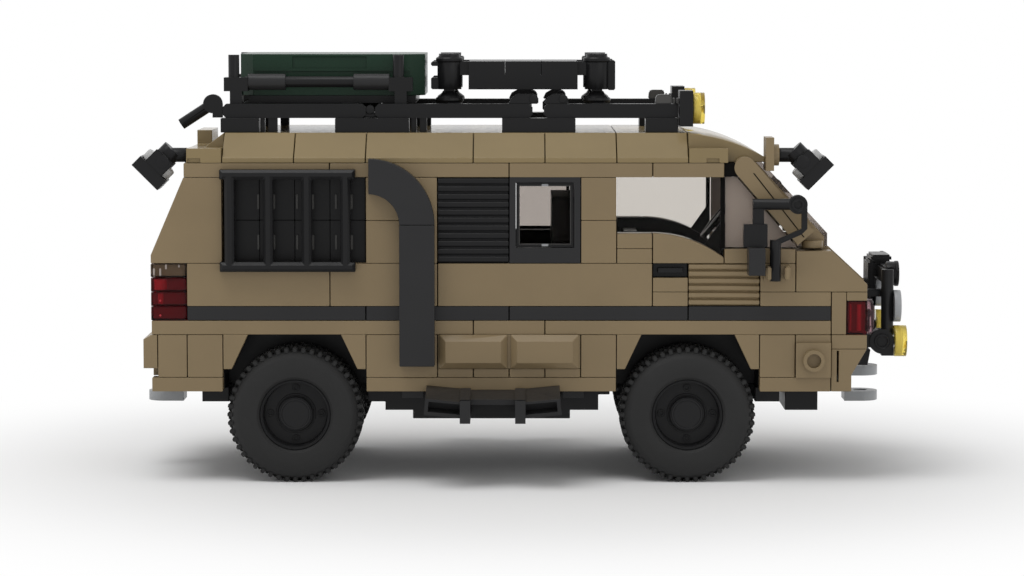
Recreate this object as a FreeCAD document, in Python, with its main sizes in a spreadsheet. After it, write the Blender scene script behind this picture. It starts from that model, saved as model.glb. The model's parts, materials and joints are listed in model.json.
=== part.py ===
import FreeCAD, Part
import math
import os
import Sketcher
from FreeCAD import Rotation, Vector

# Toy camper van built of studded bricks. X runs forward from the rear axle, Y to the left and
# Z up from the ground. Grid lines count studs from the rear axle, levels count plates from
# the sill. Each named piece is shifted at the end so that X is zero at the middle of the toy.

SIZES = {
    # brick grid
    "stud": 8.0,
    "plate": 3.2,
    "gap": 0.1,
    "bar_radius": 1.6,
    "thin_bar": 1.25,
    "stud_radius": 2.4,
    "stud_rise": 1.7,
    # grid lines, in studs ahead of the rear axle
    "line_tail": -4,
    "line_corner": -3,
    "line_arch": 2,
    "line_duct": 3,
    "line_louvre": 4,
    "line_seam": 5,
    "line_slider": 6,
    "line_pillar": 8,
    "line_door": 9,
    "line_handle": 10,
    "line_axle": 11,
    "line_door_end": 12,
    "line_clip": 13,
    "line_cowl": 14,
    "line_slope": 15,
    "line_nose": 16,
    # levels, in plates above the underside of the sill
    "level_panel": 1,
    "level_belt": 4,
    "level_stripe": 5,
    "level_waist": 6,
    "level_window": 9,
    "level_top": 15,
    "level_roof": 16,
    "level_deck": 18,
    "sill_rise": 5.4,
    # body width and walls, and the row of the rack rails and the front bar's tubes
    "side_studs": 4,
    "skin": 4.0,
    "lining": 4.0,
    "lamp_row": 20.0,
    # wheels and axles
    "wheel_radius": 15.2,
    "wheel_width": 14.0,
    "rim_radius": 8.0,
    "rim_lip": 0.7,
    "face_inset": 1.2,
    "dish_depth": 4.6,
    "cap_radius": 3.75,
    "cap_rise": 2.4,
    "web": 1.4,
    "bore_radius": 2.45,
    "end_play": 0.6,
    "running_gap": 0.05,
    "wheel_gap": 2.0,
    "lug_count": 46,
    "lug_height": 1.0,
    "lug_width": 1.15,
    "block_length": 12.0,
    "block_drop": 9.6,
    # arches
    "arch_lean": 5.6,
    "arch_foot": 1.9,
    "arch_rise": 1.8,
    # parts on the lower side
    "box_rise": 2.0,
    "box_depth": 2.0,
    "box_bevel": 1.4,
    "tile_rise": 1.0,
    "grip_depth": 1.6,
    "grip_border": 1.1,
    "rib_depth": 0.8,
    # guard over the shutters
    "shutter": 2.0,
    "guard_length": 30.2,
    "guard_shift": 1.3,
    "guard_height": 22.8,
    "guard_bar": 2.2,
    "guard_overhang": 1.1,
    "guard_depth": 3.0,
    "guard_bevel": 0.7,
    # windows
    "louvre_depth": 0.45,
    "frame_border": 1.4,
    "frame_top": 1.2,
    "frame_sill": 3.4,
    "pane": 1.0,
    "pane_inset": 1.6,
    "door_arc_radius": 26.0,
    "door_arc_drop": 5.4,
    "door_sill_rise": 6.6,
    # duct
    "duct_width": 7.8,
    "duct_bend": 14.6,
    "duct_depth": 4.0,
    "duct_drop": 31.6,
    "duct_rise": 1.0,
    "duct_inset": 0.6,
    # roof
    "roof_lip": 1.1,
    "roof_tip": 1.2,
    "roof_bend": 40.0,
    "notch_width": 2.8,
    "notch_depth": 0.5,
    # tail
    "tail_lean": 7.4,
    "lean_rise": 1.8,
    "header_depth": 2.0,
    "ledge": 3.6,
    "bumper_reach": 1.8,
    "bumper_lap": 1.4,
    # nose
    "bonnet_drop": 7.4,
    "cheek_drop": 0.5,
    "lamp_depth": 4.6,
    "lamp_height": 7.6,
    "chin_inset": 4.6,
    "chin_rise": 3.7,
    "slot_inset": 1.3,
    "slot_width": 0.45,
    "grille_depth": 3.9,
    # cab
    "pillar_radius": 2.4,
    "pillar_angle": 41.0,
    "pillar_inset": 4.6,
    "pillar_drop": 1.1,
    "screen_thickness": 1.0,
    "screen_foot": 3.0,
    "screen_head": 0.7,
    "screen_inset": 0.3,
    "screen_bar": 4.2,
    "dash_rise": 1.6,
    "dash_inset": 2.4,
    "dash_depth": 4.0,
    "steering_radius": 5.0,
    "steering_rim": 1.1,
    "column_length": 3.7,
    "seat_inset": 6.0,
    "seat_length": 12.0,
    "seat_height": 6.0,
    "seat_back": 4.4,
    # front bar and its lamps
    "bull_reach": 5.75,
    "bull_tube": 1.4,
    "bull_height": 13.7,
    "boss_radius": 2.8,
    "boss_shift": 1.3,
    "boss_drop": 2.55,
    "foot_drop": 0.5,
    "beam_depth": 4.0,
    "beam_height": 5.3,
    "cap_shift": 1.2,
    "cap_height": 1.2,
    "spot_radius": 2.35,
    "spot_length": 1.5,
    "headlamp_radius": 3.6,
    "headlamp_rise": 5.4,
    "fog_radius": 3.55,
    "fog_depth": 2.7,
    "fog_reach": 4.25,
    # tow plates
    "tow_thickness": 2.2,
    "tow_reach": 5.7,
    "tow_inset": 4.4,
    "tow_rise": 0.5,
    # side step
    "step_width": 12.0,
    "step_thickness": 3.7,
    "step_angle": 8.0,
    "step_rise": 0.6,
    "step_lip": 0.8,
    "wing_length": 8.8,
    "wing_angle": 5.5,
    "bracket_pitch": 12.2,
    "bracket_width": 2.3,
    "bracket_drop": 5.7,
    # rack
    "rail_width": 3.0,
    "rack_lamp_rise": 2.2,
    "holder_thickness": 3.1,
    "rear_bar_length": 8.5,
    # load
    "cradle_height": 3.0,
    "crate_rise": 1.7,
    "crate_height": 9.4,
    "crate_inset": 5.0,
    "crate_bevel": 3.1,
    "block_width": 5.4,
    "block_rise": 2.8,
    "block_height": 3.1,
    "post_height": 5.1,
    "tube_rise": 4.9,
    "case_inset": 8.0,
    "case_post_radius": 2.75,
    # mirrors
    "tile_length": 8.0,
    "tile_thickness": 2.8,
    "disc_thickness": 1.8,
    "kerb_drop": 3.9,
    "mirror_reach": 11.0,
    "bracket_reach": 4.3,
    "post_thickness": 1.8,
    "mirror_out": 4.0,
    "mirror_start": 2.0,
    "mirror_bar_inset": 3.1,
    "claw_rise": 13.4,
    "claw_reach": 4.9,
    "claw_radius": 2.1,
    "head_top": 5.8,
}

doc = FreeCAD.newDocument("ToyCamperVan")
sheet = doc.addObject("Spreadsheet::Sheet", "sizes")


class Size:
    """A length as a number, with the formula that the document keeps for it."""

    def __init__(self, text, value):
        self.text = text
        self.value = float(value)

    def __add__(self, other):
        other = as_size(other)
        return Size(f"({self.text} + {other.text})", self.value + other.value)

    def __sub__(self, other):
        other = as_size(other)
        return Size(f"({self.text} - {other.text})", self.value - other.value)

    def __mul__(self, other):
        other = as_size(other)
        return Size(f"({self.text} * {other.text})", self.value * other.value)

    def __truediv__(self, other):
        other = as_size(other)
        return Size(f"({self.text} / {other.text})", self.value / other.value)

    def __neg__(self):
        return Size(f"(0 - {self.text})", -self.value)

    __radd__ = __add__
    __rmul__ = __mul__

    def __rsub__(self, other):
        return as_size(other) - self


def as_size(thing):
    return thing if isinstance(thing, Size) else Size(f"({thing})", thing)


def sine(angle):
    return Size(f"sin({angle.text})", math.sin(math.radians(angle.value)))


def cosine(angle):
    return Size(f"cos({angle.text})", math.cos(math.radians(angle.value)))


def fill_sheet():
    """Write the sizes to the sheet and return each one as a Size."""
    cells = {}
    for row, (alias, number) in enumerate(SIZES.items(), start=1):
        sheet.set(f"A{row}", alias)
        sheet.set(f"B{row}", str(number))
        sheet.setAlias(f"B{row}", alias)
        cells[alias] = Size(f"sizes.{alias}", number)
    return cells


s = fill_sheet()
doc.recompute()

# Lines and levels that many pieces share
stud, plate, gap = s["stud"], s["plate"], s["gap"]
hub_z = s["wheel_radius"]
sill_low = hub_z + s["sill_rise"]


def line(name):
    """X of a named grid line."""
    return s["line_" + name] * stud


def level(name):
    """Z of a named level."""
    return sill_low + s["level_" + name] * plate


side = s["side_studs"] * stud - gap
skin_in = s["side_studs"] * stud - s["skin"]
lining_in = skin_in - s["lining"]
front_axle_x = line("axle")
gathered = {}
HALF_ROUND = "half round"


def bind(item, target, size):
    item.setExpression(target, as_size(size).text)


def place(item, x=None, y=None, z=None):
    for axis, size in zip("xyz", (x, y, z)):
        if size is not None:
            bind(item, f"Placement.Base.{axis}", size)
    return item


def box(name, x, y, z):
    """A block between two corners, each range given as (low, high)."""
    item = doc.addObject("Part::Box", name)
    for target, (low, high) in zip(("Length", "Width", "Height"), (x, y, z)):
        bind(item, target, as_size(high) - low)
    return place(item, x[0], y[0], z[0])


def rod(name, axis, start, length, radius):
    """A round bar along an axis, from its start point."""
    item = doc.addObject("Part::Cylinder", name)
    bind(item, "Radius", radius)
    bind(item, "Height", length)
    turn = {"X": Rotation(Vector(0, 1, 0), 90), "Y": Rotation(Vector(1, 0, 0), -90), "Z": Rotation()}
    item.Placement.Rotation = turn[axis]
    return place(item, *start)


def origin_feature(body, role):
    return next(item for item in body.Origin.OriginFeatures if item.Role == role)


def sketch_on(body, name, plane):
    """A sketch on one of the body's own origin planes."""
    sketch = body.newObject("Sketcher::SketchObject", name)
    sketch.AttachmentSupport = [(origin_feature(body, plane + "_Plane"), "")]
    sketch.MapMode = "FlatFace"
    return sketch


def start_sketch(name, plane):
    """A new body with its first sketch."""
    body = doc.addObject("PartDesign::Body", name)
    return body, sketch_on(body, name + "_outline", plane)


def fix(sketch, kind, geometry, point, size):
    index = sketch.addConstraint(Sketcher.Constraint(kind, -1, 1, geometry, point, size.value))
    sketch.setExpression(f"Constraints[{index}]", size.text)


def arc_between(start, end, radius):
    """A short arc from start to end; a positive radius turns left, a negative one right."""
    chord = end - start
    middle = (start + end) * 0.5
    left = Vector(-chord.y, chord.x, 0).normalize()
    rise = math.sqrt(max(radius ** 2 - (chord.Length / 2) ** 2, 0))
    centre = middle + left * math.copysign(rise, radius)
    first, last = (start, end) if radius > 0 else (end, start)
    angles = [math.atan2(p.y - centre.y, p.x - centre.x) for p in (first, last)]
    return Part.ArcOfCircle(Part.Circle(centre, Vector(0, 0, 1), abs(radius)), *angles)


def add_loop(sketch, corners, arcs=None):
    """Close a loop through the corners; arcs gives the radius of each edge that is round."""
    arcs = arcs or {}
    corners = [(as_size(x), as_size(y)) for x, y in corners]
    points = [Vector(x.value, y.value, 0) for x, y in corners]
    edges = []
    for number, point in enumerate(points):
        after = (number + 1) % len(points)
        radius = arcs.get(number)
        if radius is None:
            edge = sketch.addGeometry(Part.LineSegment(point, points[after]), False)
        elif radius is HALF_ROUND:
            half_chord = (points[after] - point).Length / 2
            edge = sketch.addGeometry(arc_between(point, points[after], half_chord), False)
            flat = abs(points[after].x - point.x) > abs(points[after].y - point.y)
            kind, axis = ("DistanceY", 1) if flat else ("DistanceX", 0)
            fix(sketch, kind, edge, 3, (corners[number][axis] + corners[after][axis]) / 2)
        else:
            edge = sketch.addGeometry(arc_between(point, points[after], radius.value), False)
            size = radius if radius.value > 0 else -radius
            index = sketch.addConstraint(Sketcher.Constraint("Radius", edge, size.value))
            sketch.setExpression(f"Constraints[{index}]", size.text)
        clockwise = radius is not None and radius is not HALF_ROUND and radius.value < 0
        edges.append((edge, 2, 1) if clockwise else (edge, 1, 2))
    for number, (edge, start, end) in enumerate(edges):
        after, after_start, _ = edges[(number + 1) % len(edges)]
        sketch.addConstraint(Sketcher.Constraint("Coincident", edge, end, after, after_start))
    for (edge, start, _), (x, y) in zip(edges, corners):
        fix(sketch, "DistanceX", edge, start, x)
        fix(sketch, "DistanceY", edge, start, y)


def add_circle(sketch, x, y, radius):
    x, y, radius = as_size(x), as_size(y), as_size(radius)
    circle = Part.Circle(Vector(x.value, y.value, 0), Vector(0, 0, 1), radius.value)
    edge = sketch.addGeometry(circle, False)
    index = sketch.addConstraint(Sketcher.Constraint("Radius", edge, radius.value))
    sketch.setExpression(f"Constraints[{index}]", radius.text)
    fix(sketch, "DistanceX", edge, 3, x)
    fix(sketch, "DistanceY", edge, 3, y)


def prism(name, plane, corners, span, arcs=None, holes=(), circles=()):
    """A profile on a plane, padded over the span of the third axis."""
    body, sketch = start_sketch(name, plane)
    add_loop(sketch, corners, arcs)
    for hole in holes:
        add_loop(sketch, hole)
    for circle in circles:
        add_circle(sketch, *circle)
    pad = body.newObject("PartDesign::Pad", name + "_pad")
    pad.Profile = sketch
    low, high = as_size(span[0]), as_size(span[1])
    bind(pad, "Length", high - low)
    if plane == "XZ":
        return place(body, y=high)
    return place(body, z=low) if plane == "XY" else place(body, x=low)


def bevel_face(body, name, y, size):
    """Cut back the edges of the face of a padded profile that lies at this Y."""
    doc.recompute()
    pad = body.Tip
    edges = []
    for number, edge in enumerate(pad.Shape.Edges, start=1):
        if all(abs(vertex.Point.y - y.value) < 1e-6 for vertex in edge.Vertexes):
            edges.append(f"Edge{number}")
    bevel = body.newObject("PartDesign::Chamfer", name)
    bevel.Base = (pad, edges)
    bind(bevel, "Size", size)
    body.Tip = bevel


def turned(name, plane, axis, corners, at=(None, None, None), arcs=None):
    """A profile turned about a sketch axis."""
    body, sketch = start_sketch(name, plane)
    add_loop(sketch, corners, arcs)
    turn = body.newObject("PartDesign::Revolution", name + "_turn")
    turn.Profile = sketch
    turn.ReferenceAxis = (sketch, [axis + "_Axis"])
    turn.Angle = 360
    return place(body, *at)


def add_lugs(body, name, width, radius):
    """A ring of tread blocks around the body's Y axis, each across the whole width."""
    half = s["lug_width"] / 2
    sketch = sketch_on(body, name + "_lug", "XZ")
    add_loop(sketch, rectangle((-half, half), (radius, s["wheel_radius"])))
    pad = body.newObject("PartDesign::Pad", name + "_lug_pad")
    pad.Profile = sketch
    pad.Reversed = True
    bind(pad, "Length", width)
    ring = body.newObject("PartDesign::PolarPattern", name + "_lug_ring")
    ring.Originals = [pad]
    ring.Axis = (origin_feature(body, "Y_Axis"), [""])
    ring.Angle = 360
    bind(ring, "Occurrences", s["lug_count"])
    body.Tip = ring


def rectangle(x, z):
    return [(x[0], z[0]), (x[1], z[0]), (x[1], z[1]), (x[0], z[1])]


def mirrored(item):
    """The same piece on the other side of the toy."""
    copy = doc.addObject("Part::Mirroring", item.Name + "_left")
    copy.Source = item
    copy.Normal = Vector(0, 1, 0)
    return copy


def both(items):
    """The pieces with their copies on the other side."""
    return list(items) + [mirrored(item) for item in items]


def fused(name, items):
    joined = doc.addObject("Part::MultiFuse", name)
    joined.Shapes = items
    return joined


def cut(name, base, tool):
    rest = doc.addObject("Part::Cut", name)
    rest.Base, rest.Tool = base, tool
    return rest


def group(name, items, at, axis=None, angle=None):
    """Pieces placed together, turned about an axis through their own origin."""
    held = doc.addObject("Part::Compound", name)
    held.Links = items
    if axis is not None:
        held.Placement.Rotation = Rotation(axis, angle.value)
        bind(held, "Placement.Rotation.Angle", angle)
    return place(held, *at)


def node(label, items):
    """Give pieces to the named sub-part that holds them."""
    gathered.setdefault(label, []).extend(items)


def finish_node(label, items):
    """The sub-part of the gathered pieces, moved so that X is zero at the middle of the toy."""
    held = doc.addObject("Part::Compound", label + "_node")
    held.Links = items
    held.Label = label
    if held.Label != label:
        raise RuntimeError(f"{label} is already the name of another piece")
    return place(held, x=-middle_x)


def course(label, spans, low, high):
    """Bricks of one course in the skin of both sides, between pairs of X values."""
    pieces = []
    for number, (back, front) in enumerate(spans):
        name = f"{label}_{number}"
        pieces.append(box(name, (back + gap, front - gap), (-side, -skin_in), (low, high - gap)))
    return pieces


def comb(name, x, z, count, depth, y_out, y_in):
    """A panel with level ribs on its outer face."""
    low, high = z
    pitch = (high - low) / count
    corners = [(-y_in, low)]
    for number in range(count):
        foot = low + pitch * number
        corners += [(-(y_out - depth), foot), (-y_out, foot + pitch * 0.25)]
        corners += [(-y_out, foot + pitch * 0.75), (-(y_out - depth), foot + pitch)]
    tidy = corners[:1]
    for corner in corners[1:]:
        if abs(corner[0].value - tidy[-1][0].value) + abs(corner[1].value - tidy[-1][1].value) > 1e-6:
            tidy.append(corner)
    tidy.append((-y_in, high))
    return prism(name, "YZ", tidy, x)


# Overall reach, which sets the middle of the toy
mirror_angle = Size("45", 45)
kerb_arm_z = level("roof") + plate / 2
kerb_z = kerb_arm_z - s["kerb_drop"]
bull_x = line("nose") + s["bull_reach"]
fog_front = bull_x + s["fog_reach"]
kerb_tail = line("corner") - s["mirror_reach"] * 0.75
kerb_nose = line("clip") + s["bracket_reach"] + s["mirror_reach"] * 0.75
mirror_half = (s["tile_length"] + s["tile_thickness"]) / 2 * cosine(mirror_angle)
middle_x = (fog_front + kerb_tail - mirror_half) / 2


def running_gear():
    """Axle blocks with pins, rims and tyres."""
    block_y = side - s["wheel_width"] - s["wheel_gap"]
    pin_end = side - s["dish_depth"] - s["web"] - s["end_play"]
    for label, axle_x in (("rear", as_size(0)), ("front", front_axle_x)):
        half = s["block_length"] / 2
        low = sill_low - s["block_drop"]
        block = box(label + "_block", (axle_x - half, axle_x + half), (-block_y, block_y), (low, sill_low))
        pin_radius = s["bore_radius"] - s["running_gap"]
        pin = rod(label + "_pin", "Y", (axle_x, -pin_end, hub_z), pin_end * 2, pin_radius)
        node("axles", [fused(label + "_axle_solid", [block, pin])])
        for hand, sign in (("right", 1), ("left", -1)):
            wheel(f"{label}_{hand}", axle_x, sign)


def wheel(label, axle_x, sign):
    """A rim and its tyre; the profile's first axis runs inwards from the wheel's outer face."""
    rim_r, dish, width, face = s["rim_radius"], s["dish_depth"], s["wheel_width"], s["face_inset"]
    lip = rim_r - s["rim_lip"]
    cap, bore = s["cap_radius"], s["bore_radius"]
    crown, blind = dish - s["cap_rise"], dish + s["web"]
    rim_outline = [
        (crown, 0), (crown, cap), (dish, cap), (dish, lip), (face, lip), (face, rim_r),
        (width - face, rim_r), (width - face, bore), (blind, bore), (blind, 0),
    ]
    rim = turned(label + "_rim_body", "YZ", "H", rim_outline)
    seat = rim_r + s["running_gap"]
    tread = s["wheel_radius"] - s["lug_height"]
    tyre = turned(label + "_tyre_body", "YZ", "H", [(0, seat), (0, tread), (width, tread), (width, seat)])
    add_lugs(tyre, label, width, tread - s["running_gap"])
    for kind, item in (("rim", rim), ("tyre", tyre)):
        if sign < 0:
            item.Placement.Rotation = Rotation(Vector(0, 0, 1), 180)
        place(item, axle_x, -side * sign, hub_z)
        node(f"{kind}_{label}", [item])


def underside():
    """The chassis spine, the floor between the arches and the stepped blocks below it."""
    arch = line("arch")
    spine_y = side - s["wheel_width"] - s["wheel_gap"]
    tail, nose = line("tail") + s["skin"], line("slope")
    spine = box("spine", (tail, nose), (-spine_y, spine_y), (sill_low, level("belt")))
    node("chassis_spine", [spine])
    spans = [(tail, -arch), (arch, front_axle_x - arch), (front_axle_x + arch, nose)]
    blocks = []
    for number, (back, front) in enumerate(spans):
        y = (-skin_in, -spine_y)
        blocks.append(box(f"floor_block_{number}", (back, front), y, (sill_low, level("belt"))))
    node("floor_blocks", both(blocks))
    first, second, third = sill_low - plate, sill_low - plate * 1.6, sill_low - plate * 2.2
    door, half_down = line("door"), sill_low - plate / 2
    keel = [
        (arch, sill_low), (arch, first), (arch + plate * 1.25, first), (arch + plate * 1.25, second),
        (arch + plate * 3.2, second), (arch + plate * 3.2, third), (door - plate * 3.2, third),
        (door - plate * 3.2, second), (door - plate * 1.2, second), (door - plate * 1.2, half_down),
        (door - plate * 0.4, half_down), (door - plate * 0.4, sill_low),
    ]
    keel_y = stud * 3
    pieces = [prism("keel", "XZ", keel, (-keel_y, keel_y))]
    rear = (-arch - plate * 1.7, -arch + plate * 0.2)
    pieces.append(box("rear_hanger", rear, (-keel_y, keel_y), (first, sill_low)))
    clip = line("clip")
    front = (clip - plate / 8, clip + plate * 1.6)
    pieces.append(box("front_hanger", front, (-keel_y, keel_y), (first, sill_low)))
    nose_block = (clip + plate * 2, line("slope") - plate * 0.7)
    pieces.append(box("nose_hanger", nose_block, (-keel_y, keel_y), (second, sill_low)))
    tow_y = stud / 2 - gap
    rear_tow = (line("tail") + gap, line("corner") - gap)
    pieces.append(box("rear_tow_hanger", rear_tow, (-tow_y, tow_y), (first, sill_low)))
    front_tow = (line("slope") + gap, line("nose") - s["tow_inset"] / 4)
    pieces.append(box("front_tow_hanger", front_tow, (-tow_y, tow_y), (first, sill_low + s["tow_rise"])))
    node("keel_blocks", pieces)


def lower_body():
    """Sills, panels, arch slopes, belt and stripe."""
    arch, tail, corner = line("arch"), line("tail"), line("corner")
    front_back, front_ahead = front_axle_x - arch, front_axle_x + arch
    clip, cowl, slope = line("clip"), line("cowl"), line("slope")
    panel, belt, stripe, waist = level("panel"), level("belt"), level("stripe"), level("waist")
    sill_spans = [(tail, -arch), (arch, line("door")), (clip, slope)]
    node("lower_panels", both(course("sill", sill_spans, sill_low, panel)))
    spans = [(tail + s["bumper_lap"], corner), (corner, -arch), (arch, line("louvre"))]
    spans += [(line("pillar"), line("door")), (clip, cowl), (cowl, slope)]
    node("lower_panels", both(course("lower", spans, panel, belt)))
    tiles = [(line("louvre") + stud * number, line("louvre") + stud * (number + 1)) for number in range(4)]
    node("lower_panels", both(course("ledge", tiles, panel, panel + s["box_rise"])))
    back = [(line("louvre"), line("pillar"))]
    node("lower_panels", both(course("box_wall", back, panel + s["box_rise"], belt)))
    slopes = []
    for number, (edge, lean) in enumerate(((-arch, 1), (arch, -1), (front_back, 1), (front_ahead, -1))):
        foot, top = edge + s["arch_foot"] * lean, edge + s["arch_lean"] * lean
        inner, low = edge + gap * lean, panel + s["arch_rise"]
        corners = [(inner, low), (foot, low), (top, belt), (inner, belt)]
        slopes.append(prism(f"arch_slope_{number}", "XZ", corners, (-side, -skin_in)))
    node("arch_slopes", both(slopes))
    belt_spans = [(tail, line("seam")), (line("seam"), line("slider") + stud), (line("slider") + stud, slope)]
    node("lower_panels", both(course("belt", belt_spans, belt, stripe)))
    slider, axle = line("slider"), front_axle_x
    stripe_spans = [(corner, arch), (arch, slider), (slider, axle), (axle, slope)]
    node("stripe_plates", both(course("stripe", stripe_spans, stripe, waist)))
    window = level("window")
    spans = [(corner, arch - stud), (arch - stud, line("louvre")), (line("louvre"), line("handle"))]
    pieces = course("waist", spans, waist, window)
    pieces += course("clip_plate", [(clip, slope)], waist, waist + plate)
    pieces += course("clip_panel", [(clip, cowl)], waist + plate, window)
    pieces += course("quarter_sill", [(line("door_end"), cowl)], window, window + plate)
    pieces += course("handle_plates", [(line("handle"), front_axle_x)], waist, waist + plate)
    pieces += course("handle_plate_top", [(line("handle"), front_axle_x)], waist + plate, waist + plate * 2)
    node("waist_panels", both(pieces))
    door_handles(line("handle") + gap, front_axle_x - gap, waist + plate * 2, window)
    rib_x = (axle + gap, clip - gap)
    ribs = comb("door_ribs", rib_x, (waist, window), 6, s["rib_depth"], side, skin_in)
    node("ribbed_panels", both([ribs]))
    storage_boxes(panel + s["box_rise"], belt)
    filler_tile(cowl + stud / 2, panel + stud / 2 - gap)


def door_handles(back, front, low, high):
    """A grip on a recessed plate in each door."""
    recess, border = side - s["grip_depth"], s["grip_border"]
    plate_back = box("handle_back", (back, front), (-recess, -skin_in), (low, high))
    grip_x = (back + border, front - border)
    grip = box("handle_grip", grip_x, (-side, -recess), (low + border, high - border))
    node("door_handles", both([fused("handle", [plate_back, grip])]))


def storage_boxes(low, high):
    """Two boxes with bevelled lids on each side."""
    boxes = []
    depth, clear = s["box_depth"], gap * 4
    slider = line("slider")
    for number, (back, front) in enumerate(((line("louvre"), slider), (slider, line("pillar")))):
        outline = rectangle((back + clear, front - clear), (low, high))
        lid = prism(f"storage_box_{number}", "XZ", outline, (-(side + depth), -side))
        bevel_face(lid, f"storage_bevel_{number}", -depth, s["box_bevel"])
        boxes.append(lid)
    node("storage_boxes", both(boxes))


def filler_tile(middle, centre_z):
    """The tile with a hollow stud over the filler."""
    half, face = stud / 2 - gap, side + s["tile_rise"]
    x, z = (middle - half, middle + half), (centre_z - half, centre_z + half)
    tile = box("filler", x, (-face, -side), z)
    start = (middle, -(face + s["stud_rise"]), centre_z)
    ring = rod("filler_ring", "Y", start, s["stud_rise"], s["stud_radius"])
    hole = rod("filler_hole", "Y", start, s["stud_rise"], s["bar_radius"])
    filler = cut("filler_cut", fused("filler_body", [tile, ring]), hole)
    node("filler_tile", [filler, mirrored(filler)])


def lining():
    """Dark inner walls, which carry the skin and close the cabin behind the solid panels."""
    belt, window, top = level("belt"), level("window"), level("top")
    tail, cowl, slope = line("corner") + gap, line("cowl"), line("slope") - gap
    y = (-skin_in, -lining_in)
    walls = [box("lining_low", (tail, cowl), y, (belt, window - gap))]
    walls.append(box("lining_nose", (cowl + gap, slope), y, (belt, level("waist") + plate - gap)))
    posts = [(tail, -line("arch")), (line("arch"), line("louvre")), (line("pillar"), line("door"))]
    for number, (back, front) in enumerate(posts):
        walls.append(box(f"lining_post_{number}", (back, front), y, (window, top - gap)))
    head = line("corner") + s["header_depth"] + gap
    walls.append(box("lining_top", (head, line("door_end")), y, (top, level("roof"))))
    walls.append(prism("lining_door", "XZ", door_outline(line("door") + gap, 0), y,
                       arcs={2: s["door_arc_radius"]}))
    node("inner_walls", both(walls))


def door_outline(back, lift):
    """The lower part of a door's window course, whose top curves down towards the front."""
    window, end = level("window"), line("door_end") - gap
    arc_top = window + s["door_sill_rise"] + lift
    arc_start = line("handle") + gap
    corners = [(back, window), (end, window), (end, arc_top - s["door_arc_drop"]), (arc_start, arc_top)]
    return corners + [(back, arc_top)] if back.value < arc_start.value else corners


def window_course():
    """Shutters with their guards, louvres, sliding windows, doors and glass."""
    window, top = level("window"), level("top")
    half_z = (window + top) / 2
    arch, duct = line("arch"), line("duct")
    louvre, slider, pillar, door = line("louvre"), line("slider"), line("pillar"), line("door")
    walls = course("wall", [(duct, louvre)], window, top)
    for name, low, high in (("wall_low", window, half_z), ("wall_high", half_z, top)):
        walls += course(name, [(arch, duct), (pillar, door)], low, high)
    node("wall_panels", both(walls))
    shutters = []
    for number in range(4):
        back = -arch + stud * number
        for row, (low, high) in enumerate(((window, half_z), (half_z, top))):
            x = (back + gap, back + stud - gap)
            y = (-skin_in, -(skin_in - s["shutter"]))
            shutters.append(box(f"shutter_{number}_{row}", x, y, (low, high - gap)))
    node("inner_walls", both(shutters))
    guard(half_z)
    slats = comb("louvre", (louvre + gap, slider - gap), (window, top), 11, s["louvre_depth"], side, skin_in)
    node("louvres", both([slats]))
    border, head, sill = s["frame_border"], s["frame_top"], s["frame_sill"]
    x, z = (slider + gap, pillar - gap), (window, top)
    hole = ((x[0] + border, x[1] - border), (z[0] + sill, z[1] - head))
    frame = prism("slider_frame", "XZ", rectangle(x, z), (-side, -skin_in), holes=[rectangle(*hole)])
    node("window_frames", both([frame]))
    fit = gap
    pane_x, pane_z = (hole[0][0] + fit, hole[0][1] - fit), (hole[1][0] + fit, hole[1][1] - fit)
    node("slider_glass", both([box("slider_pane", pane_x, pane_y(), pane_z)]))
    doors()


def pane_y():
    """The thickness range of a pane in the side of the body."""
    outer = side - s["pane_inset"]
    return (-outer, -(outer - s["pane"]))


def doors():
    """The curved lower part of each door, its pane and the quarter pane before the pillar."""
    window, top = level("window"), level("top")
    door, handle, door_end = line("door"), line("handle"), line("door_end")
    radius, y = s["door_arc_radius"], (-side, -skin_in)
    arc_top, split = window + s["door_sill_rise"], window + s["door_sill_rise"] / 2
    panels = [prism("door_curve", "XZ", door_outline(handle + gap, 0), y, arcs={2: radius})]
    panels.append(box("door_low_block", (door + gap, handle - gap), y, (window, split - gap)))
    panels.append(box("door_top_block", (door + gap, handle - gap), y, (split, arc_top)))
    node("door_panels", both(panels))
    curve = door_outline(door + gap, gap)
    corners = [curve[4], curve[3], curve[2], (door_end - gap, top), (door + gap, top)]
    panes = [prism("door_pane", "XZ", corners, pane_y(), arcs={1: -radius})]
    foot_z, back = window + plate, door_end + gap
    low_x, high_x = pillar_edge(foot_z) - gap, pillar_edge(top) - gap
    quarter = [(back, foot_z), (low_x, foot_z), (high_x, top), (back, top)]
    panes.append(prism("quarter_pane", "XZ", quarter, pane_y()))
    node("window_glass", both(panes))


def pillar_edge(z):
    """X of the rear edge of the windscreen pillar at this height."""
    lean = sine(s["pillar_angle"]) / cosine(s["pillar_angle"])
    return pillar_x + (pillar_z - z) * lean - s["pillar_radius"] / cosine(s["pillar_angle"])


def guard(centre_z):
    """The bar guard in front of the shutters on each side, with bevelled bars."""
    bar, over, depth = s["guard_bar"], s["guard_overhang"], s["guard_depth"]
    middle, half = -s["guard_shift"], s["guard_length"] / 2
    low, high = centre_z - s["guard_height"] / 2, centre_z + s["guard_height"] / 2
    back, front = middle - half, middle + half
    first, last = back + over, front - over
    foot, head = low + bar, high - bar
    outline = [(back, low), (front, low), (front, foot), (last, foot), (last, head), (front, head)]
    outline += [(front, high), (back, high), (back, head), (first, head), (first, foot), (back, foot)]
    pitch = (last - first - bar) / 3
    holes = []
    for number in range(3):
        start = first + pitch * number
        holes.append(rectangle((start + bar, start + pitch), (foot, head)))
    frame = prism("guard", "XZ", outline, (-(side + depth), -side), holes=holes)
    bevel_face(frame, "guard_bevel", -depth, s["guard_bevel"])
    node("window_guards", both([frame]))


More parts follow.
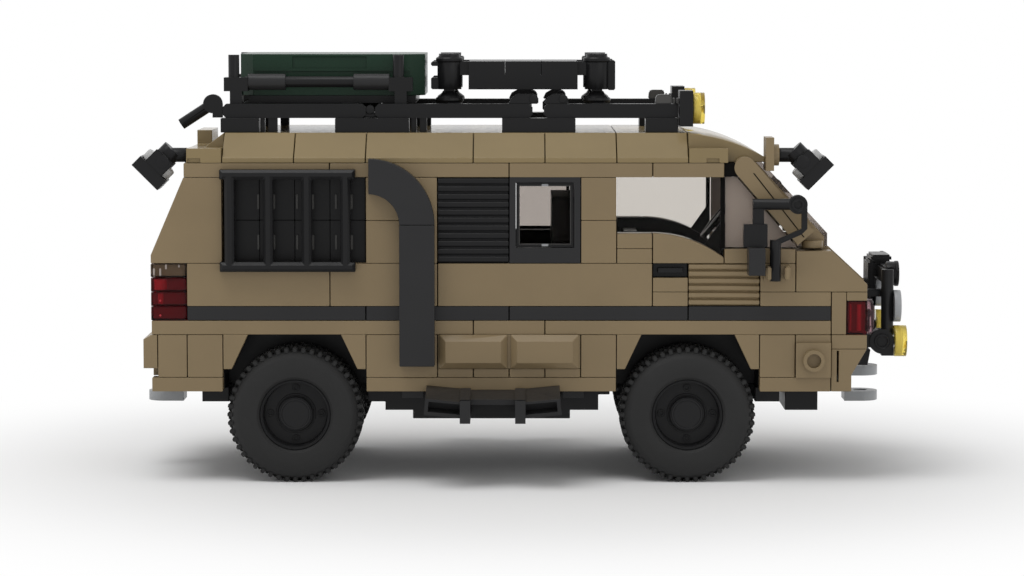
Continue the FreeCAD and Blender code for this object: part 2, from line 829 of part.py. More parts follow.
def air_duct():
    """The intake duct that bends down the right side."""
    top = level("roof") + s["duct_rise"]
    bend, width = s["duct_bend"], s["duct_width"]
    right = line("louvre") - s["duct_inset"]
    mouth, elbow = right - bend, top - bend
    inner = bend - width
    y = (-(side + s["duct_depth"]), -side)
    corners = [(mouth, top - width), (right - width, elbow), (right, elbow), (mouth, top)]
    bent = prism("duct_elbow", "XZ", corners, y, arcs={0: -inner, 2: bend})
    straight = box("duct_straight", (right - width, right), y, (elbow - s["duct_drop"], elbow - gap))
    node("air_duct", [bent, straight])


def upper_body():
    """Upper plates, roof slopes, deck, curved front and corner plates."""
    top, roof, deck = level("top"), level("roof"), level("deck")
    arch, door_end, axle = line("arch"), line("door_end"), front_axle_x
    rear = line("tail") + s["tail_lean"]
    spans = [(rear, arch - stud), (arch - stud, line("slider")), (line("slider"), line("handle"))]
    spans += [(line("handle"), door_end)]
    node("wall_panels", both(course("upper", spans, top, roof)))
    seams = [-arch, as_size(0), arch, line("seam"), line("slider") + stud, line("door"), axle]
    inner, lip = side - stud, s["roof_lip"]
    outline = [(-side, roof), (-side, roof + lip), (-(inner + lip / 2), deck), (-inner, deck), (-inner, roof)]
    slopes = []
    for number in range(len(seams) - 1):
        x = (seams[number] + gap, seams[number + 1] - gap)
        slopes.append(prism(f"roof_slope_{number}", "YZ", outline, x))
    node("roof_panels", both(slopes))
    deck_y = inner - gap
    decks = []
    for number, (back, front) in enumerate(((-arch, line("door")), (line("door"), axle))):
        decks.append(box(f"deck_{number}", (back + gap, front - gap), (-deck_y, deck_y), (roof, deck)))
    node("roof_panels", decks)
    tip = line("clip") + s["roof_tip"]
    curve = [(axle + gap, roof), (tip, roof), (tip, roof + s["roof_lip"]), (axle + gap, deck)]
    front_y = side - stud / 2
    node("roof_ends", [prism("roof_curve", "XZ", curve, (-front_y, front_y), arcs={2: s["roof_bend"]})])
    corner_y = (-side, -(front_y + gap))
    corner_plate("front", (axle + gap, door_end + plate / 4), corner_y, door_end - stud / 2)


def corner_plate(name, x, y, notch_x):
    """A plate beside the roof's end, with a notch in its lower edge."""
    roof = level("roof")
    body = box(f"{name}_corner_plate", x, y, (roof, roof + plate))
    notch, depth = (notch_x, notch_x + s["notch_width"]), s["notch_depth"]
    slot = box(f"{name}_corner_notch", notch, (y[0], y[0] + depth), (roof, roof + depth * 2))
    node("roof_ends", both([cut(f"{name}_corner_cut", body, slot)]))


def tail():
    """The rear wall with its doors, sloped window corners, lamps, bumper and header."""
    tail_x, corner, arch = line("tail"), line("corner"), line("arch")
    panel, belt, stripe, waist = level("panel"), level("belt"), level("stripe"), level("waist")
    window, top, roof, deck = level("window"), level("top"), level("roof"), level("deck")
    door_y = side - stud - gap
    lean_foot, lean_top = window + s["lean_rise"], top - gap
    head_x = tail_x + s["tail_lean"]
    pieces = []
    for name, end, y in (("skin", -arch - gap, (-side, -skin_in)), ("post", corner, (-skin_in, -door_y))):
        outline = [(tail_x, window), (end, window), (end, lean_top), (head_x, lean_top), (tail_x, lean_foot)]
        pieces.append(prism(f"rear_corner_{name}", "XZ", outline, y))
    node("rear_corners", both([fused("rear_corner", pieces)]))
    header_y = skin_in - gap
    header = box("rear_header", (head_x, corner + s["header_depth"]), (-header_y, header_y), (top, roof))
    node("rear_corners", [header])
    rear_window(head_x, lean_foot, top, door_y - gap)
    x = (tail_x, tail_x + s["skin"])
    doors_y = ((-(skin_in - gap), -gap), (-(door_y - gap), -gap))
    levels = ((panel, stripe), (waist, lean_foot - gap))
    rear_door = [box(f"rear_door_{n}", x, y, z) for n, (y, z) in enumerate(zip(doors_y, levels))]
    node("rear_doors", both(rear_door))
    node("stripe_plates", both([box("rear_band", x, doors_y[1], (stripe, waist))]))
    lamps = []
    lamp_x, lamp_y = (tail_x, corner - gap), (-side, -door_y)
    for number in range(3):
        low = stripe + plate * number
        lamps.append(box(f"lamp_{number}", lamp_x, lamp_y, (low, low + plate - gap)))
    node("red_lenses", both(lamps))
    lens = box("lamp_top", lamp_x, lamp_y, (stripe + plate * 3, window - gap))
    node("clear_lenses", both([lens]))
    low, reach = panel + s["box_rise"], s["bumper_reach"]
    back = tail_x - reach
    corners = [(tail_x, low), (tail_x, belt - gap), (back, belt - reach * 0.6), (back, low)]
    beam = prism("bumper", "XZ", corners, (-side, side))
    lap_x = (tail_x, tail_x + s["bumper_lap"] - gap)
    laps = both([box("bumper_end", lap_x, (-side, -skin_in), (low, belt - gap))])
    node("rear_bumper", [fused("bumper_joined", [beam] + laps)])
    ledge, slope_start = corner + gap * 4, corner + s["ledge"]
    hip = [(ledge, roof), (-arch - gap, roof), (-arch - gap, deck), (slope_start, roof + plate)]
    hip.append((ledge, roof + plate))
    rear_y = side - stud - gap
    stop = box("rear_stop", (ledge, slope_start + gap * 2), (-stud, stud), (roof + plate - gap, deck))
    node("roof_ends", [fused("roof_hip_joined", [prism("roof_hip", "XZ", hip, (-rear_y, rear_y)), stop])])
    corner_plate("rear", (corner + gap, -arch - gap), (-side, -(rear_y + gap)), corner + gap * 4)


def rear_window(head_x, low, high, half_width):
    """The sloped rear pane between the corners."""
    tail_x, inset, thick = line("tail"), s["frame_border"], s["pane"] * 1.5
    rise = (high - low - inset) / (high - low) * s["tail_lean"]
    start, end = tail_x + gap * 4, tail_x + gap * 4 + rise
    glass = [(start, low), (start + thick, low), (end + thick, high - inset), (end, high - inset)]
    node("window_glass", [prism("rear_pane", "XZ", glass, (-half_width, half_width))])
    frame_x, frame_z = (head_x, head_x + thick), (high - inset + gap, high - gap)
    node("rear_corners", [box("rear_frame", frame_x, (-half_width, half_width), frame_z)])


def nose():
    """Nose cheeks, bonnet, grille, corner lamps and the wall behind them."""
    cowl, slope, nose_x = line("cowl"), line("slope"), line("nose")
    panel, belt, waist, window = level("panel"), level("belt"), level("waist"), level("window")
    base, top = waist + plate, window + plate
    cheek_y = side - stud
    for name, height, y in (("cheek", top - s["cheek_drop"], (-side, -(cheek_y + gap))),
                            ("bonnet_block", top, (-cheek_y, cheek_y))):
        edge = height - s["bonnet_drop"]
        outline = [(cowl + gap, base), (nose_x, base), (nose_x, edge), (slope, height), (cowl + gap, height)]
        block = prism(name, "XZ", outline, y)
        node("bonnet", both([block]) if name == "cheek" else [block])
    lamp_back, lamp_top = nose_x - s["lamp_depth"], belt + s["lamp_height"]
    y = (-side, -skin_in)
    posts = [box("nose_post", (slope + gap, lamp_back - gap), y, (belt, base - gap))]
    posts.append(box("nose_cap", (lamp_back, nose_x), y, (lamp_top, base - gap)))
    posts.append(box("nose_shelf", (slope + gap, nose_x), y, (belt - plate, belt - gap)))
    foot, chin = slope + s["chin_inset"], sill_low + s["chin_rise"]
    outline = [(slope + gap, sill_low), (foot, sill_low), (foot, chin), (nose_x, belt - plate - gap)]
    outline += [(slope + gap, belt - plate - gap)]
    slot_x = slope + s["slot_inset"]
    slot = rectangle((slot_x, slot_x + s["slot_width"]), (panel - plate / 3, belt - plate - s["slot_width"]))
    posts.append(prism("nose_corner", "XZ", outline, y, holes=[slot]))
    node("nose_corners", both(posts))
    node("red_lenses", both([box("corner_lamp", (lamp_back, nose_x), y, (belt, lamp_top))]))
    depth, rib = s["grille_depth"], s["rib_depth"]
    grille_y = skin_in - gap
    front = comb("grille", (as_size(0), grille_y * 2), (belt, base - gap), 5, rib, depth, as_size(0))
    at = (nose_x - depth, -grille_y, None)
    node("nose_front", [group("grille_turned", [front], at, Vector(0, 0, 1), Size("90", 90))])
    wall_x = (slope + gap, nose_x - depth - gap)
    wall = box("nose_wall_block", wall_x, (-grille_y, grille_y), (panel, base - gap))
    bar_low, bar_high = sill_low + plate * 1.4, belt - plate * 1.5
    bumper = [(wall_x[1], bar_low), (nose_x + plate / 2, bar_low), (nose_x + plate * 0.7, bar_high)]
    bumper += [(wall_x[1], bar_high)]
    bar_y = s["lamp_row"] - plate / 2
    bar = prism("bumper_bar", "XZ", bumper, (-bar_y, bar_y))
    node("nose_front", [fused("nose_wall_joined", [wall, bar])])


def cab():
    """Pillars, windscreen, dashboard, wheel, seats and the cupboard behind them."""
    window, roof, belt = level("window"), level("roof"), level("belt")
    radius, foot_z = s["pillar_radius"], window + plate
    run = (pillar_z - foot_z - radius) / cosine(s["pillar_angle"])
    bar = [(-radius, -run), (radius, -run), (radius, as_size(0)), (-radius, as_size(0))]
    y = (-(side - gap), -(skin_in + gap))
    pillar = prism("pillar", "XZ", bar, y, arcs={2: HALF_ROUND})
    at = (pillar_x, None, pillar_z)
    tilted = group("pillar_turned", [pillar], at, Vector(0, -1, 0), s["pillar_angle"])
    node("windscreen_frame", both([tilted]))
    foot_x, head_x = line("slope") - s["screen_inset"], line("clip") + s["screen_head"]
    knee, thick = foot_z + s["screen_foot"], s["screen_thickness"]
    outer, inner_edge = thick * 1.4, knee - thick / 2
    screen = [(foot_x - thick, foot_z), (foot_x, foot_z), (foot_x, knee), (head_x, roof)]
    screen += [(head_x - outer, roof), (foot_x - thick, inner_edge)]
    screen_y = skin_in - s["lining"] - gap
    node("windscreen", [prism("screen", "XZ", screen, (-screen_y, screen_y))])
    front = foot_x - thick - gap
    back = front - s["screen_bar"]
    low, tip = foot_z + s["screen_foot"] / 2, head_x - outer - gap
    frame = [(back, foot_z), (front, foot_z), (front, inner_edge), (tip, roof), (tip - s["screen_bar"], roof)]
    frame += [(back, low)]
    bar_y = (-(skin_in - gap), -(screen_y + gap))
    node("windscreen_frame", both([prism("screen_bar", "XZ", frame, bar_y)]))
    dashboard()
    seat_x, inner = line("door") + s["seat_inset"], lining_in - gap
    length, cushion, back_z = s["seat_length"], belt + s["seat_height"], window + s["seat_back"]
    seat_end = seat_x + length
    seat = [(seat_x, belt), (seat_end, belt), (seat_end, cushion), (seat_x + length / 4, cushion)]
    seat += [(seat_x, back_z), (seat_x - length / 4, back_z), (seat_x - length / 10, cushion)]
    node("cab_furniture", both([prism("seat", "XZ", seat, (-(inner - length / 4), -length / 3))]))
    cupboard_x = (line("pillar") - stud * 0.8, line("door") - gap)
    cupboard = box("cupboard_block", cupboard_x, (-inner, stud / 2), (belt, level("top") - plate * 1.5))
    node("cab_furniture", [cupboard])


def dashboard():
    """The dashboard under the windscreen, with its hood, shelf and steering wheel."""
    window, belt = level("window"), level("belt")
    inner, top = lining_in - gap, window + plate + s["dash_rise"]
    back, front = line("door_end") + s["dash_inset"], line("cowl") - gap
    depth = s["dash_depth"]
    outline = [(back, window - depth), (back + depth, belt), (front, belt), (front, top)]
    outline += [(back + depth, top), (back, top - s["dash_rise"])]
    dash = prism("dash", "XZ", outline, (-inner, inner))
    hood_x, hood_z = (back + depth, back + depth * 1.8), (top, top + plate)
    hood = box("instrument_hood", hood_x, (stud / 2, inner - depth), hood_z)
    shelf = box("dash_shelf", hood_x, (-(inner - depth), -stud * 1.5), hood_z)
    node("dashboard", [fused("dash_joined", [dash, hood, shelf])])
    wheel_r, rim = s["steering_radius"], s["steering_rim"]
    half = rim / 2
    ring_outline = [(wheel_r - rim, -half), (wheel_r, -half), (wheel_r, half), (wheel_r - rim, half)]
    ring = turned("steering_rim", "XZ", "V", ring_outline)
    spoke_x = wheel_r - half
    spoke = box("steering_spoke", (-spoke_x, spoke_x), (-rim * 0.8, rim * 0.8), (-half * 0.8, half * 0.8))
    column = box("steering_column", (-rim, rim), (-rim, rim), (-s["column_length"], as_size(0)))
    at = (back - plate * 0.6, stud * 1.5, top + plate * 0.6)
    angle = Size("52", 52)
    node("steering_wheel", [group("steering_turned", [fused("steering", [ring, spoke, column])], at,
                                  Vector(0, -1, 0), angle)])


def bull_bar():
    """The front bar with its lamps, headlamps and tow plates."""
    nose_x, belt = line("nose"), level("belt")
    tube, half = s["bull_tube"], s["lamp_row"]
    boss_z, top_z = belt - s["boss_drop"], belt + s["bull_height"]
    boss_r, boss_x = s["boss_radius"], bull_x - s["boss_shift"]
    upright_low = boss_z + boss_r
    upright = rod("bull_upright", "Z", (bull_x, -half, upright_low - tube), top_z - upright_low + tube, tube)
    boss = rod("bull_boss", "Y", (boss_x, -(half + tube * 1.4), boss_z), tube * 2.8, boss_r)
    arm = box("bull_arm", (nose_x, boss_x), (-(half + tube), -(half - tube)), (boss_z - tube, boss_z + tube))
    foot = box("bull_foot", (boss_x, bull_x + tube), (-(half + tube), -(half - tube)),
               (boss_z - boss_r - s["foot_drop"], boss_z - boss_r / 2))
    node("bull_bar", both([fused("bull_side", [upright, boss, arm, foot])]))
    depth, height = s["beam_depth"], s["beam_height"]
    beam_low = top_z - height * 0.62
    beam_x, beam_z = (bull_x + tube - depth, bull_x + tube), (beam_low, beam_low + height)
    beam_y = half - tube - gap
    beam = box("bull_beam", beam_x, (-beam_y, beam_y), beam_z)
    cap_x = (beam_x[0] - s["cap_shift"], beam_x[1] - s["cap_shift"])
    cap = box("bull_cap", cap_x, (-beam_y, beam_y), (beam_z[1], beam_z[1] + s["cap_height"]))
    stay_low, stay_edge, stay_top = beam_low - plate, nose_x + s["cap_shift"] / 2, beam_z[1]
    stay = [(nose_x, stay_low), (beam_x[0], stay_low), (beam_x[0], stay_top)]
    stay += [(stay_edge + plate / 4, stay_top), (stay_edge, stay_top - plate / 2)]
    stay += [(stay_edge, beam_low + plate / 2), (nose_x, beam_low)]
    stays = both([prism("bull_stay", "XZ", stay, (-(half - plate), -(half - plate * 2)))])
    spot_r = s["spot_radius"]
    spot = rod("spot_lamp", "X", (beam_x[1], -half / 2, beam_z[0] + spot_r), s["spot_length"], spot_r)
    node("bull_bar_beam", [fused("bull_beam_joined", [beam, cap] + stays + both([spot]))])
    lens_x = bull_x + tube
    lens_at = (lens_x, -half, belt + s["headlamp_rise"])
    node("headlamps", both([rod("headlamp", "X", lens_at, s["spot_length"], s["headlamp_radius"])]))
    fog_start = fog_front - s["fog_depth"]
    fog_at = (fog_start, -half, boss_z)
    node("yellow_lamps", both([rod("fog_lamp", "X", fog_at, s["fog_depth"], s["fog_radius"])]))
    light_z, light_y = belt + s["lamp_height"] / 2, side - stud / 2
    light = rod("side_light", "X", (nose_x, -light_y, light_z), plate / 2, stud / 2 - gap)
    node("clear_lenses", both([light]))


def tow_plates():
    """Plates with a round end and a hole under the nose and the tail, and one above the front hole."""
    half, thick, high = stud / 2, s["tow_thickness"], sill_low - plate
    inset = s["tow_inset"]
    pieces = []
    for name, end, back, turn in (("front", line("nose") + s["tow_reach"], line("nose") - inset / 2, 1),
                                  ("rear", line("tail") - half, line("tail") + inset, -1)):
        centre = end - half * turn
        inner, outer = (back, centre) if turn > 0 else (centre, back)
        corners = [(inner, -half), (outer, -half), (outer, half), (inner, half)]
        arcs = {1: HALF_ROUND} if turn > 0 else {3: HALF_ROUND}
        holes = [(centre, 0, s["bar_radius"])]
        z = (high - thick, high)
        pieces.append(prism(f"{name}_tow_plate", "XY", corners, z, arcs=arcs, circles=holes))
    low = sill_low + s["tow_rise"]
    centre = line("nose") + s["tow_reach"] - half
    corners = [(line("slope"), -half), (centre, -half), (centre, half), (line("slope"), half)]
    pieces.append(prism("upper_tow_plate", "XY", corners, (low, low + thick), arcs={1: HALF_ROUND}))
    node("tow_plates", pieces)


def side_steps():
    """The tilted step on each side: two slotted wings, a bar between them and two brackets."""
    outer, thick, wing = s["step_width"], s["step_thickness"], s["wing_length"]
    middle, half_pitch = line("seam") + stud * 0.55, s["bracket_pitch"] / 2
    lip = s["step_lip"]
    slabs = []
    for name, turn in (("rear", -1), ("front", 1)):
        x = (as_size(0), wing) if turn > 0 else (-wing, as_size(0))
        slab = box(f"wing_{name}", x, (-outer, as_size(0)), (-thick, as_size(0)))
        slot_x, slot_y = (x[0] + lip, x[1] - lip), (-(outer + lip), -(outer - stud / 2))
        slot = box(f"wing_slot_{name}", slot_x, slot_y, (-(thick - lip), -lip * 0.7))
        at = (half_pitch * turn, None, None)
        hollow = cut(f"wing_cut_{name}", slab, slot)
        slabs.append(group(f"wing_turned_{name}", [hollow], at, Vector(0, -turn, 0), s["wing_angle"]))
    bar_x = (-(half_pitch + lip), half_pitch + lip)
    slabs.append(box("step_bar", bar_x, (-(outer - lip * 4), as_size(0)), (-lip * 1.7, -lip * 0.2)))
    strap = s["bracket_width"] / 2
    for number, x in enumerate((-half_pitch, half_pitch)):
        strap_x = (x - strap, x + strap)
        slabs.append(box(f"step_strap_{number}", strap_x, (-outer, -lip * 2), (-lip, lip * 0.8)))
    inner_y, top = side + gap * 3, sill_low + s["step_rise"]
    at = (middle, -inner_y, top)
    tilted = group("step_tilted", [fused("step_slabs", slabs)], at, Vector(1, 0, 0), s["step_angle"])
    drop, slope = sine(s["step_angle"]) * outer, (lip * 1.2) / cosine(s["step_angle"])
    y_out = inner_y + outer * cosine(s["step_angle"]) - gap
    bottom, keel_y = sill_low - s["bracket_drop"], stud * 3
    arms = []
    for number, x in enumerate((middle - half_pitch, middle + half_pitch)):
        corners = [(-(y_out + lip), bottom), (-keel_y, bottom), (-keel_y, bottom + lip * 2)]
        corners += [(-inner_y, top - slope), (-y_out, top - slope - drop), (-y_out, top - drop + lip / 2)]
        corners += [(-(y_out + lip), top - drop + lip / 2)]
        arms.append(prism(f"step_arm_{number}", "YZ", corners, (x - strap, x + strap)))
    node("side_steps", both([fused("step_joined", [tilted] + arms)]))
    blocks = []
    for number, back in enumerate((line("duct") - gap, line("pillar") - stud / 2)):
        x, y = (back, back + stud * 0.6), (-skin_in, -(keel_y + gap))
        blocks.append(box(f"step_block_{number}", x, y, (sill_low - plate * 0.6, sill_low)))
    node("side_steps", both(blocks))


def rack():
    """Feet, rails, cross bars, lamps and the rear bar of the roof rack."""
    deck = level("deck")
    rail_low, rail_high = deck + plate, deck + plate * 2
    half, width = s["lamp_row"], s["rail_width"]
    y = (-half - width / 2, -half + width / 2)
    arch = line("arch")
    slider, axle = line("slider"), front_axle_x
    foot_spans = [(-arch - plate * 0.3, -stud - plate / 8), (stud + plate / 4, line("duct") + plate * 0.45)]
    foot_spans.append((slider - plate / 2, line("pillar") - plate / 3))
    foot_spans.append((line("handle") - plate * 0.4, axle - plate * 0.6))
    feet = []
    for number, x in enumerate(foot_spans):
        feet.append(box(f"foot_{number}", x, (-half - width, -half + width), (deck, rail_low)))
    node("rack_supports", both(feet))
    rail_spans = [(-arch - plate * 0.2, arch - plate * 0.1), (arch + plate * 0.55, slider + plate * 1.65)]
    rail_spans += [(slider + plate * 2.45, axle - plate * 0.6)]
    rails = []
    for number, (back, front) in enumerate(rail_spans):
        end = plate / 4
        outline = [(back + end, rail_low), (front - end, rail_low), (front, rail_low + end)]
        outline += [(front, rail_high - end), (front - end, rail_high), (back + end, rail_high)]
        outline += [(back, rail_high - end), (back, rail_low + end)]
        rails.append(prism(f"rail_{number}", "XZ", outline, y))
    node("rack_rails", both(rails))
    bars = []
    starts = (-arch + width, arch - width * 2, line("seam") - width * 2, line("pillar") + width)
    for number, x in enumerate(starts):
        y = (-half + width / 2, half - width / 2)
        bars.append(box(f"cross_{number}", (x, x + width), y, (rail_low + gap * 2, rail_high)))
    node("rack_supports", bars)
    lamp_x, centre_z = axle - plate * 0.55, rail_low + s["rack_lamp_rise"]
    holder_y = (-half - stud / 2, -half + stud / 2)
    plate_x = (lamp_x + gap, lamp_x + s["holder_thickness"])
    holder = box("lamp_holder", plate_x, holder_y, (centre_z - stud / 2, centre_z + stud / 2))
    node("rack_rails", both([holder]))
    lens = rod("rack_lens", "X", (plate_x[1], -half, centre_z), s["fog_depth"], s["fog_radius"])
    node("yellow_lamps", both([lens]))
    rear_bar(-arch - plate * 0.2, -half, rail_low)


def rear_bar(rail_end, y, rail_low):
    """The round bar that hangs behind the right rail, in a clip on the rail's end."""
    thin = s["thin_bar"]
    bar = rod("rear_bar_rod", "Z", (0, 0, 0), s["rear_bar_length"], thin)
    centre = (rail_end - thin * 1.8, y, rail_low + plate)
    angle = Size("123", 123)
    tilted = group("rear_bar_tilted", [bar], centre, Vector(0, -1, 0), angle)
    start = (centre[0], y - thin, centre[2])
    clip = rod("rear_bar_clip", "Y", start, thin * 2, thin * 1.7)
    link_x = (centre[0], rail_end - gap)
    link = box("rear_bar_link", link_x, (y - thin, y + thin), (rail_low + gap, centre[2]))
    node("rack_rails", [fused("rear_bar_joined", [tilted, clip, link])])


def load():
    """The green crate in its cradle and the black case between its end posts."""
    base = level("deck") + plate * 2
    low = base + s["cradle_height"]
    back, front = -line("arch") + stud * 0.35, line("duct") + stud * 0.6
    half = s["lamp_row"] - s["crate_inset"]
    crate(back, front, half, base + s["crate_rise"])
    tray_x = (back + stud / 4, front - stud / 4)
    tray = box("cradle_tray", tray_x, (-half, half), (base, base + s["crate_rise"]))
    node("crate_cradle", [tray])
    rail_y, post_r = s["lamp_row"] - s["bar_radius"], s["thin_bar"]
    block, mid_z = s["block_width"], base + s["tube_rise"]
    block_low = base + s["block_rise"]
    block_z = (block_low, block_low + s["block_height"])
    blocks = []
    for number, x in enumerate((back - stud * 0.4, front - stud)):
        y = (-rail_y - block / 3, -half - gap)
        foot = box(f"cradle_block_{number}", (x, x + block), y, block_z)
        post_at = (x + block * 0.4, -rail_y, block_z[1])
        post = rod(f"cradle_post_{number}", "Z", post_at, s["post_height"], post_r)
        stem = box(f"cradle_stem_{number}", (x + block / 4, x + block * 0.75), y, (base, block_low + gap))
        blocks.append(fused(f"cradle_end_{number}", [foot, post, stem]))
    tube_x = (back + stud * 0.2, front - stud + gap)
    tube = rod("cradle_tube", "X", (tube_x[0], -rail_y, mid_z), tube_x[1] - tube_x[0], post_r)
    node("crate_cradle", both([fused("cradle_side", blocks + [tube])]))
    case(base, low)


def crate(back, front, half, low):
    """The crate, with its corners cut off and a shallow panel in each side."""
    bevel, high = s["crate_bevel"], low + s["crate_height"]
    plan = [(back + bevel, -half), (front - bevel, -half), (front, -half + bevel), (front, half - bevel)]
    plan += [(front - bevel, half), (back + bevel, half), (back, half - bevel), (back, -half + bevel)]
    body = prism("crate", "XY", plan, (low, high))
    panel_x = (back + stud * 1.5, front - stud * 1.65)
    panels = []
    for number, y in enumerate(((-half - gap, -half + gap * 4), (half - gap * 4, half + gap))):
        panels.append(box(f"crate_panel_{number}", panel_x, y, (high - plate * 1.2, high - plate * 0.2)))
    node("cargo_crate", [cut("crate_cut", body, fused("crate_panels", panels))])


def case(base, low):
    """The case: a long plate under three tiles, held by a capped post at each corner."""
    back, front = line("seam") - stud * 0.16, line("pillar") - plate / 8
    half = s["lamp_row"] - s["case_inset"]
    middle, high = low + plate, low + plate * 2
    pieces = [box("case_tray", (back, front), (-half, half), (low, middle))]
    tile = (front - back) / 3
    for number in range(3):
        x = (back + tile * number + gap / 2, back + tile * (number + 1) - gap / 2)
        pieces.append(box(f"case_tile_{number}", x, (-half, half), (middle, high)))
    radius, neck = s["case_post_radius"], s["thin_bar"]
    for number, x in enumerate((back - radius * 1.6, front + radius * 1.6)):
        reach = (x, back + gap * 2) if number == 0 else (front - gap * 2, x)
        for hand, y in enumerate((-half + radius, half - radius)):
            name = f"case_post_{number}_{hand}"
            pieces.append(box(name + "_arm", reach, (y - neck, y + neck), (middle, high)))
            pieces.append(rod(name + "_body", "Z", (x, y, low), plate * 2, radius))
            pieces.append(rod(name + "_knob", "Z", (x, y, high), s["stud_rise"], s["stud_radius"]))
            foot = (y - neck, y + neck)
            pieces.append(box(name + "_neck", (x - neck, x + neck), foot, (base, low)))
    node("cargo_case", [fused("case_joined", pieces)])


def mirrors():
    """Door mirrors on both sides and the two kerb mirrors on the right."""
    door_mirror()
    roof, clip_x = level("roof"), line("clip")
    length, thick = s["tile_length"], s["tile_thickness"]
    kerb_y = side - stud / 2
    tan_x, post_thick = clip_x + s["roof_tip"], s["post_thickness"]
    post_x, post_y = (tan_x, tan_x + post_thick), (-side, -(side - stud))
    post = box("kerb_post", post_x, post_y, (roof - post_thick, roof + plate + s["stud_radius"]))
    flange_x = tan_x + post_thick
    flange_end = clip_x + s["bracket_reach"]
    flange = rod("kerb_flange", "X", (flange_x, -kerb_y, kerb_arm_z), flange_end - flange_x, s["stud_radius"])
    node("mirror_brackets", [fused("kerb_bracket_joined", [post, flange])])
    tiles, discs, arms = [], [], []
    knuckle_low = s["disc_thickness"]
    ends = (("rear", kerb_tail, 1, line("corner")), ("front", kerb_nose, -1, flange_end))
    for name, centre, turn, start in ends:
        lift = thick / 2 * cosine(mirror_angle)
        at = (centre + lift * turn, -kerb_y, kerb_z + lift)
        half = length / 2
        tile = box(f"kerb_tile_{name}", (-half, half), (-half, half), (-thick, as_size(0)))
        disc = rod(f"kerb_disc_{name}", "Z", (0, 0, 0), knuckle_low, half - gap * 2)
        knuckle = rod(f"kerb_knuckle_{name}", "Z", (0, 0, knuckle_low), half, s["stud_radius"])
        axis = Vector(0, turn, 0)
        tiles.append(group(f"kerb_tile_turned_{name}", [tile], at, axis, mirror_angle))
        discs.append(group(f"kerb_disc_turned_{name}", [disc], at, axis, mirror_angle))
        held = group(f"kerb_knuckle_turned_{name}", [knuckle], at, axis, mirror_angle)
        reach = s["mirror_reach"] * 0.45
        low_x = start - reach if turn > 0 else start
        arm = rod(f"kerb_arm_{name}", "X", (low_x, -kerb_y, kerb_arm_z), reach, s["bar_radius"])
        arms.append(fused(f"kerb_arm_joined_{name}", [held, arm]))
    node("kerb_mirrors", tiles + arms)
    node("clear_lenses", discs)


def door_mirror():
    """A mirror blade on a cross bar, joined by a hook to an upright in a clip on the door."""
    window, clip_x = level("window"), line("clip")
    thin, out = s["thin_bar"], side + s["mirror_out"]
    bar_x, claw_z = clip_x + s["mirror_bar_inset"], window + s["claw_rise"]
    claw_x, claw_r = bar_x + s["claw_reach"], s["claw_radius"]
    y, flat = (-(out + thin), -(out - thin)), thin * 0.6
    flat_y = (-(out + flat), -(out - flat))
    clip_z = (window - plate * 1.15, window - gap * 2)
    clip_depth = side + s["mirror_out"] - thin - gap
    clip = box("mirror_clip", (bar_x - plate * 0.75, bar_x + plate), (-clip_depth, -side), clip_z)
    node("mirror_brackets", both([clip]))
    upright_top = window + plate * 1.7
    upright = rod("mirror_upright", "Z", (bar_x, -out, clip_z[0]), upright_top - clip_z[0], thin)
    hold = box("mirror_hold", (bar_x - thin / 2, bar_x + thin / 2), (-out, -clip_depth),
               (clip_z[0] + gap, clip_z[1] - gap))
    edge = claw_x + claw_r
    bend = window + plate * 2.5
    hook = [(bar_x, upright_top), (edge - thin, bend), (edge - thin, claw_z), (edge, claw_z), (edge, bend)]
    hook += [(edge - thin, bend - thin), (bar_x, upright_top - thin)]
    arm = prism("mirror_hook", "XZ", hook, flat_y)
    claw = rod("mirror_claw", "Y", (claw_x, y[0], claw_z), thin * 2, claw_r)
    start = clip_x - s["mirror_start"]
    cross = rod("mirror_cross_bar", "X", (start, -out, claw_z), claw_x - claw_r / 2 - start, thin)
    neck_x, head_top = (start, start + thin * 2), window + s["head_top"]
    neck = box("mirror_neck", neck_x, flat_y, (head_top + plate * 0.8, claw_z))
    mount_x = (start - thin * 1.6, clip_x + thin)
    mount = box("mirror_mount", mount_x, y, (head_top - plate * 0.6 + gap, head_top + plate))
    node("door_mirror_arms", both([fused("mirror_frame", [upright, hold, arm, claw, cross, neck, mount])]))
    blade_x = (clip_x - plate * 0.95, clip_x + plate * 0.2)
    blade_z = (head_top - stud, head_top - plate * 0.6)
    head = box("mirror_head", blade_x, (-(out + stud / 2), -(out - stud * 0.3)), blade_z)
    node("door_mirror_heads", both([head]))


pillar_x, pillar_z = line("door_end") + s["pillar_inset"], level("roof") - s["pillar_drop"]
running_gear()
underside()
lower_body()
lining()
window_course()
air_duct()
upper_body()
tail()
nose()
cab()
bull_bar()
tow_plates()
side_steps()
rack()
load()
mirrors()

nodes = [finish_node(label, items) for label, items in gathered.items()]
doc.recompute()
for item in doc.Objects:
    if "Invalid" in item.State or "Error" in item.State:
        raise RuntimeError(f"{item.Name} failed: {item.State}")
os.makedirs("parts", exist_ok=True)
for held in nodes:
    shape = held.Shape
    if shape.isNull() or not shape.isValid() or not shape.Solids:
        raise RuntimeError(f"{held.Label} has no valid solid")
for held in nodes:
    held.Shape.exportStep(f"parts/{held.Label}.step")
    box_now = held.Shape.BoundBox
    print(f"{held.Label}: {len(held.Shape.Solids)} solids, X {box_now.XMin:.1f} to {box_now.XMax:.1f}")
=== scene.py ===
import json
import math

import bmesh
import bpy
from mathutils import Matrix, Vector


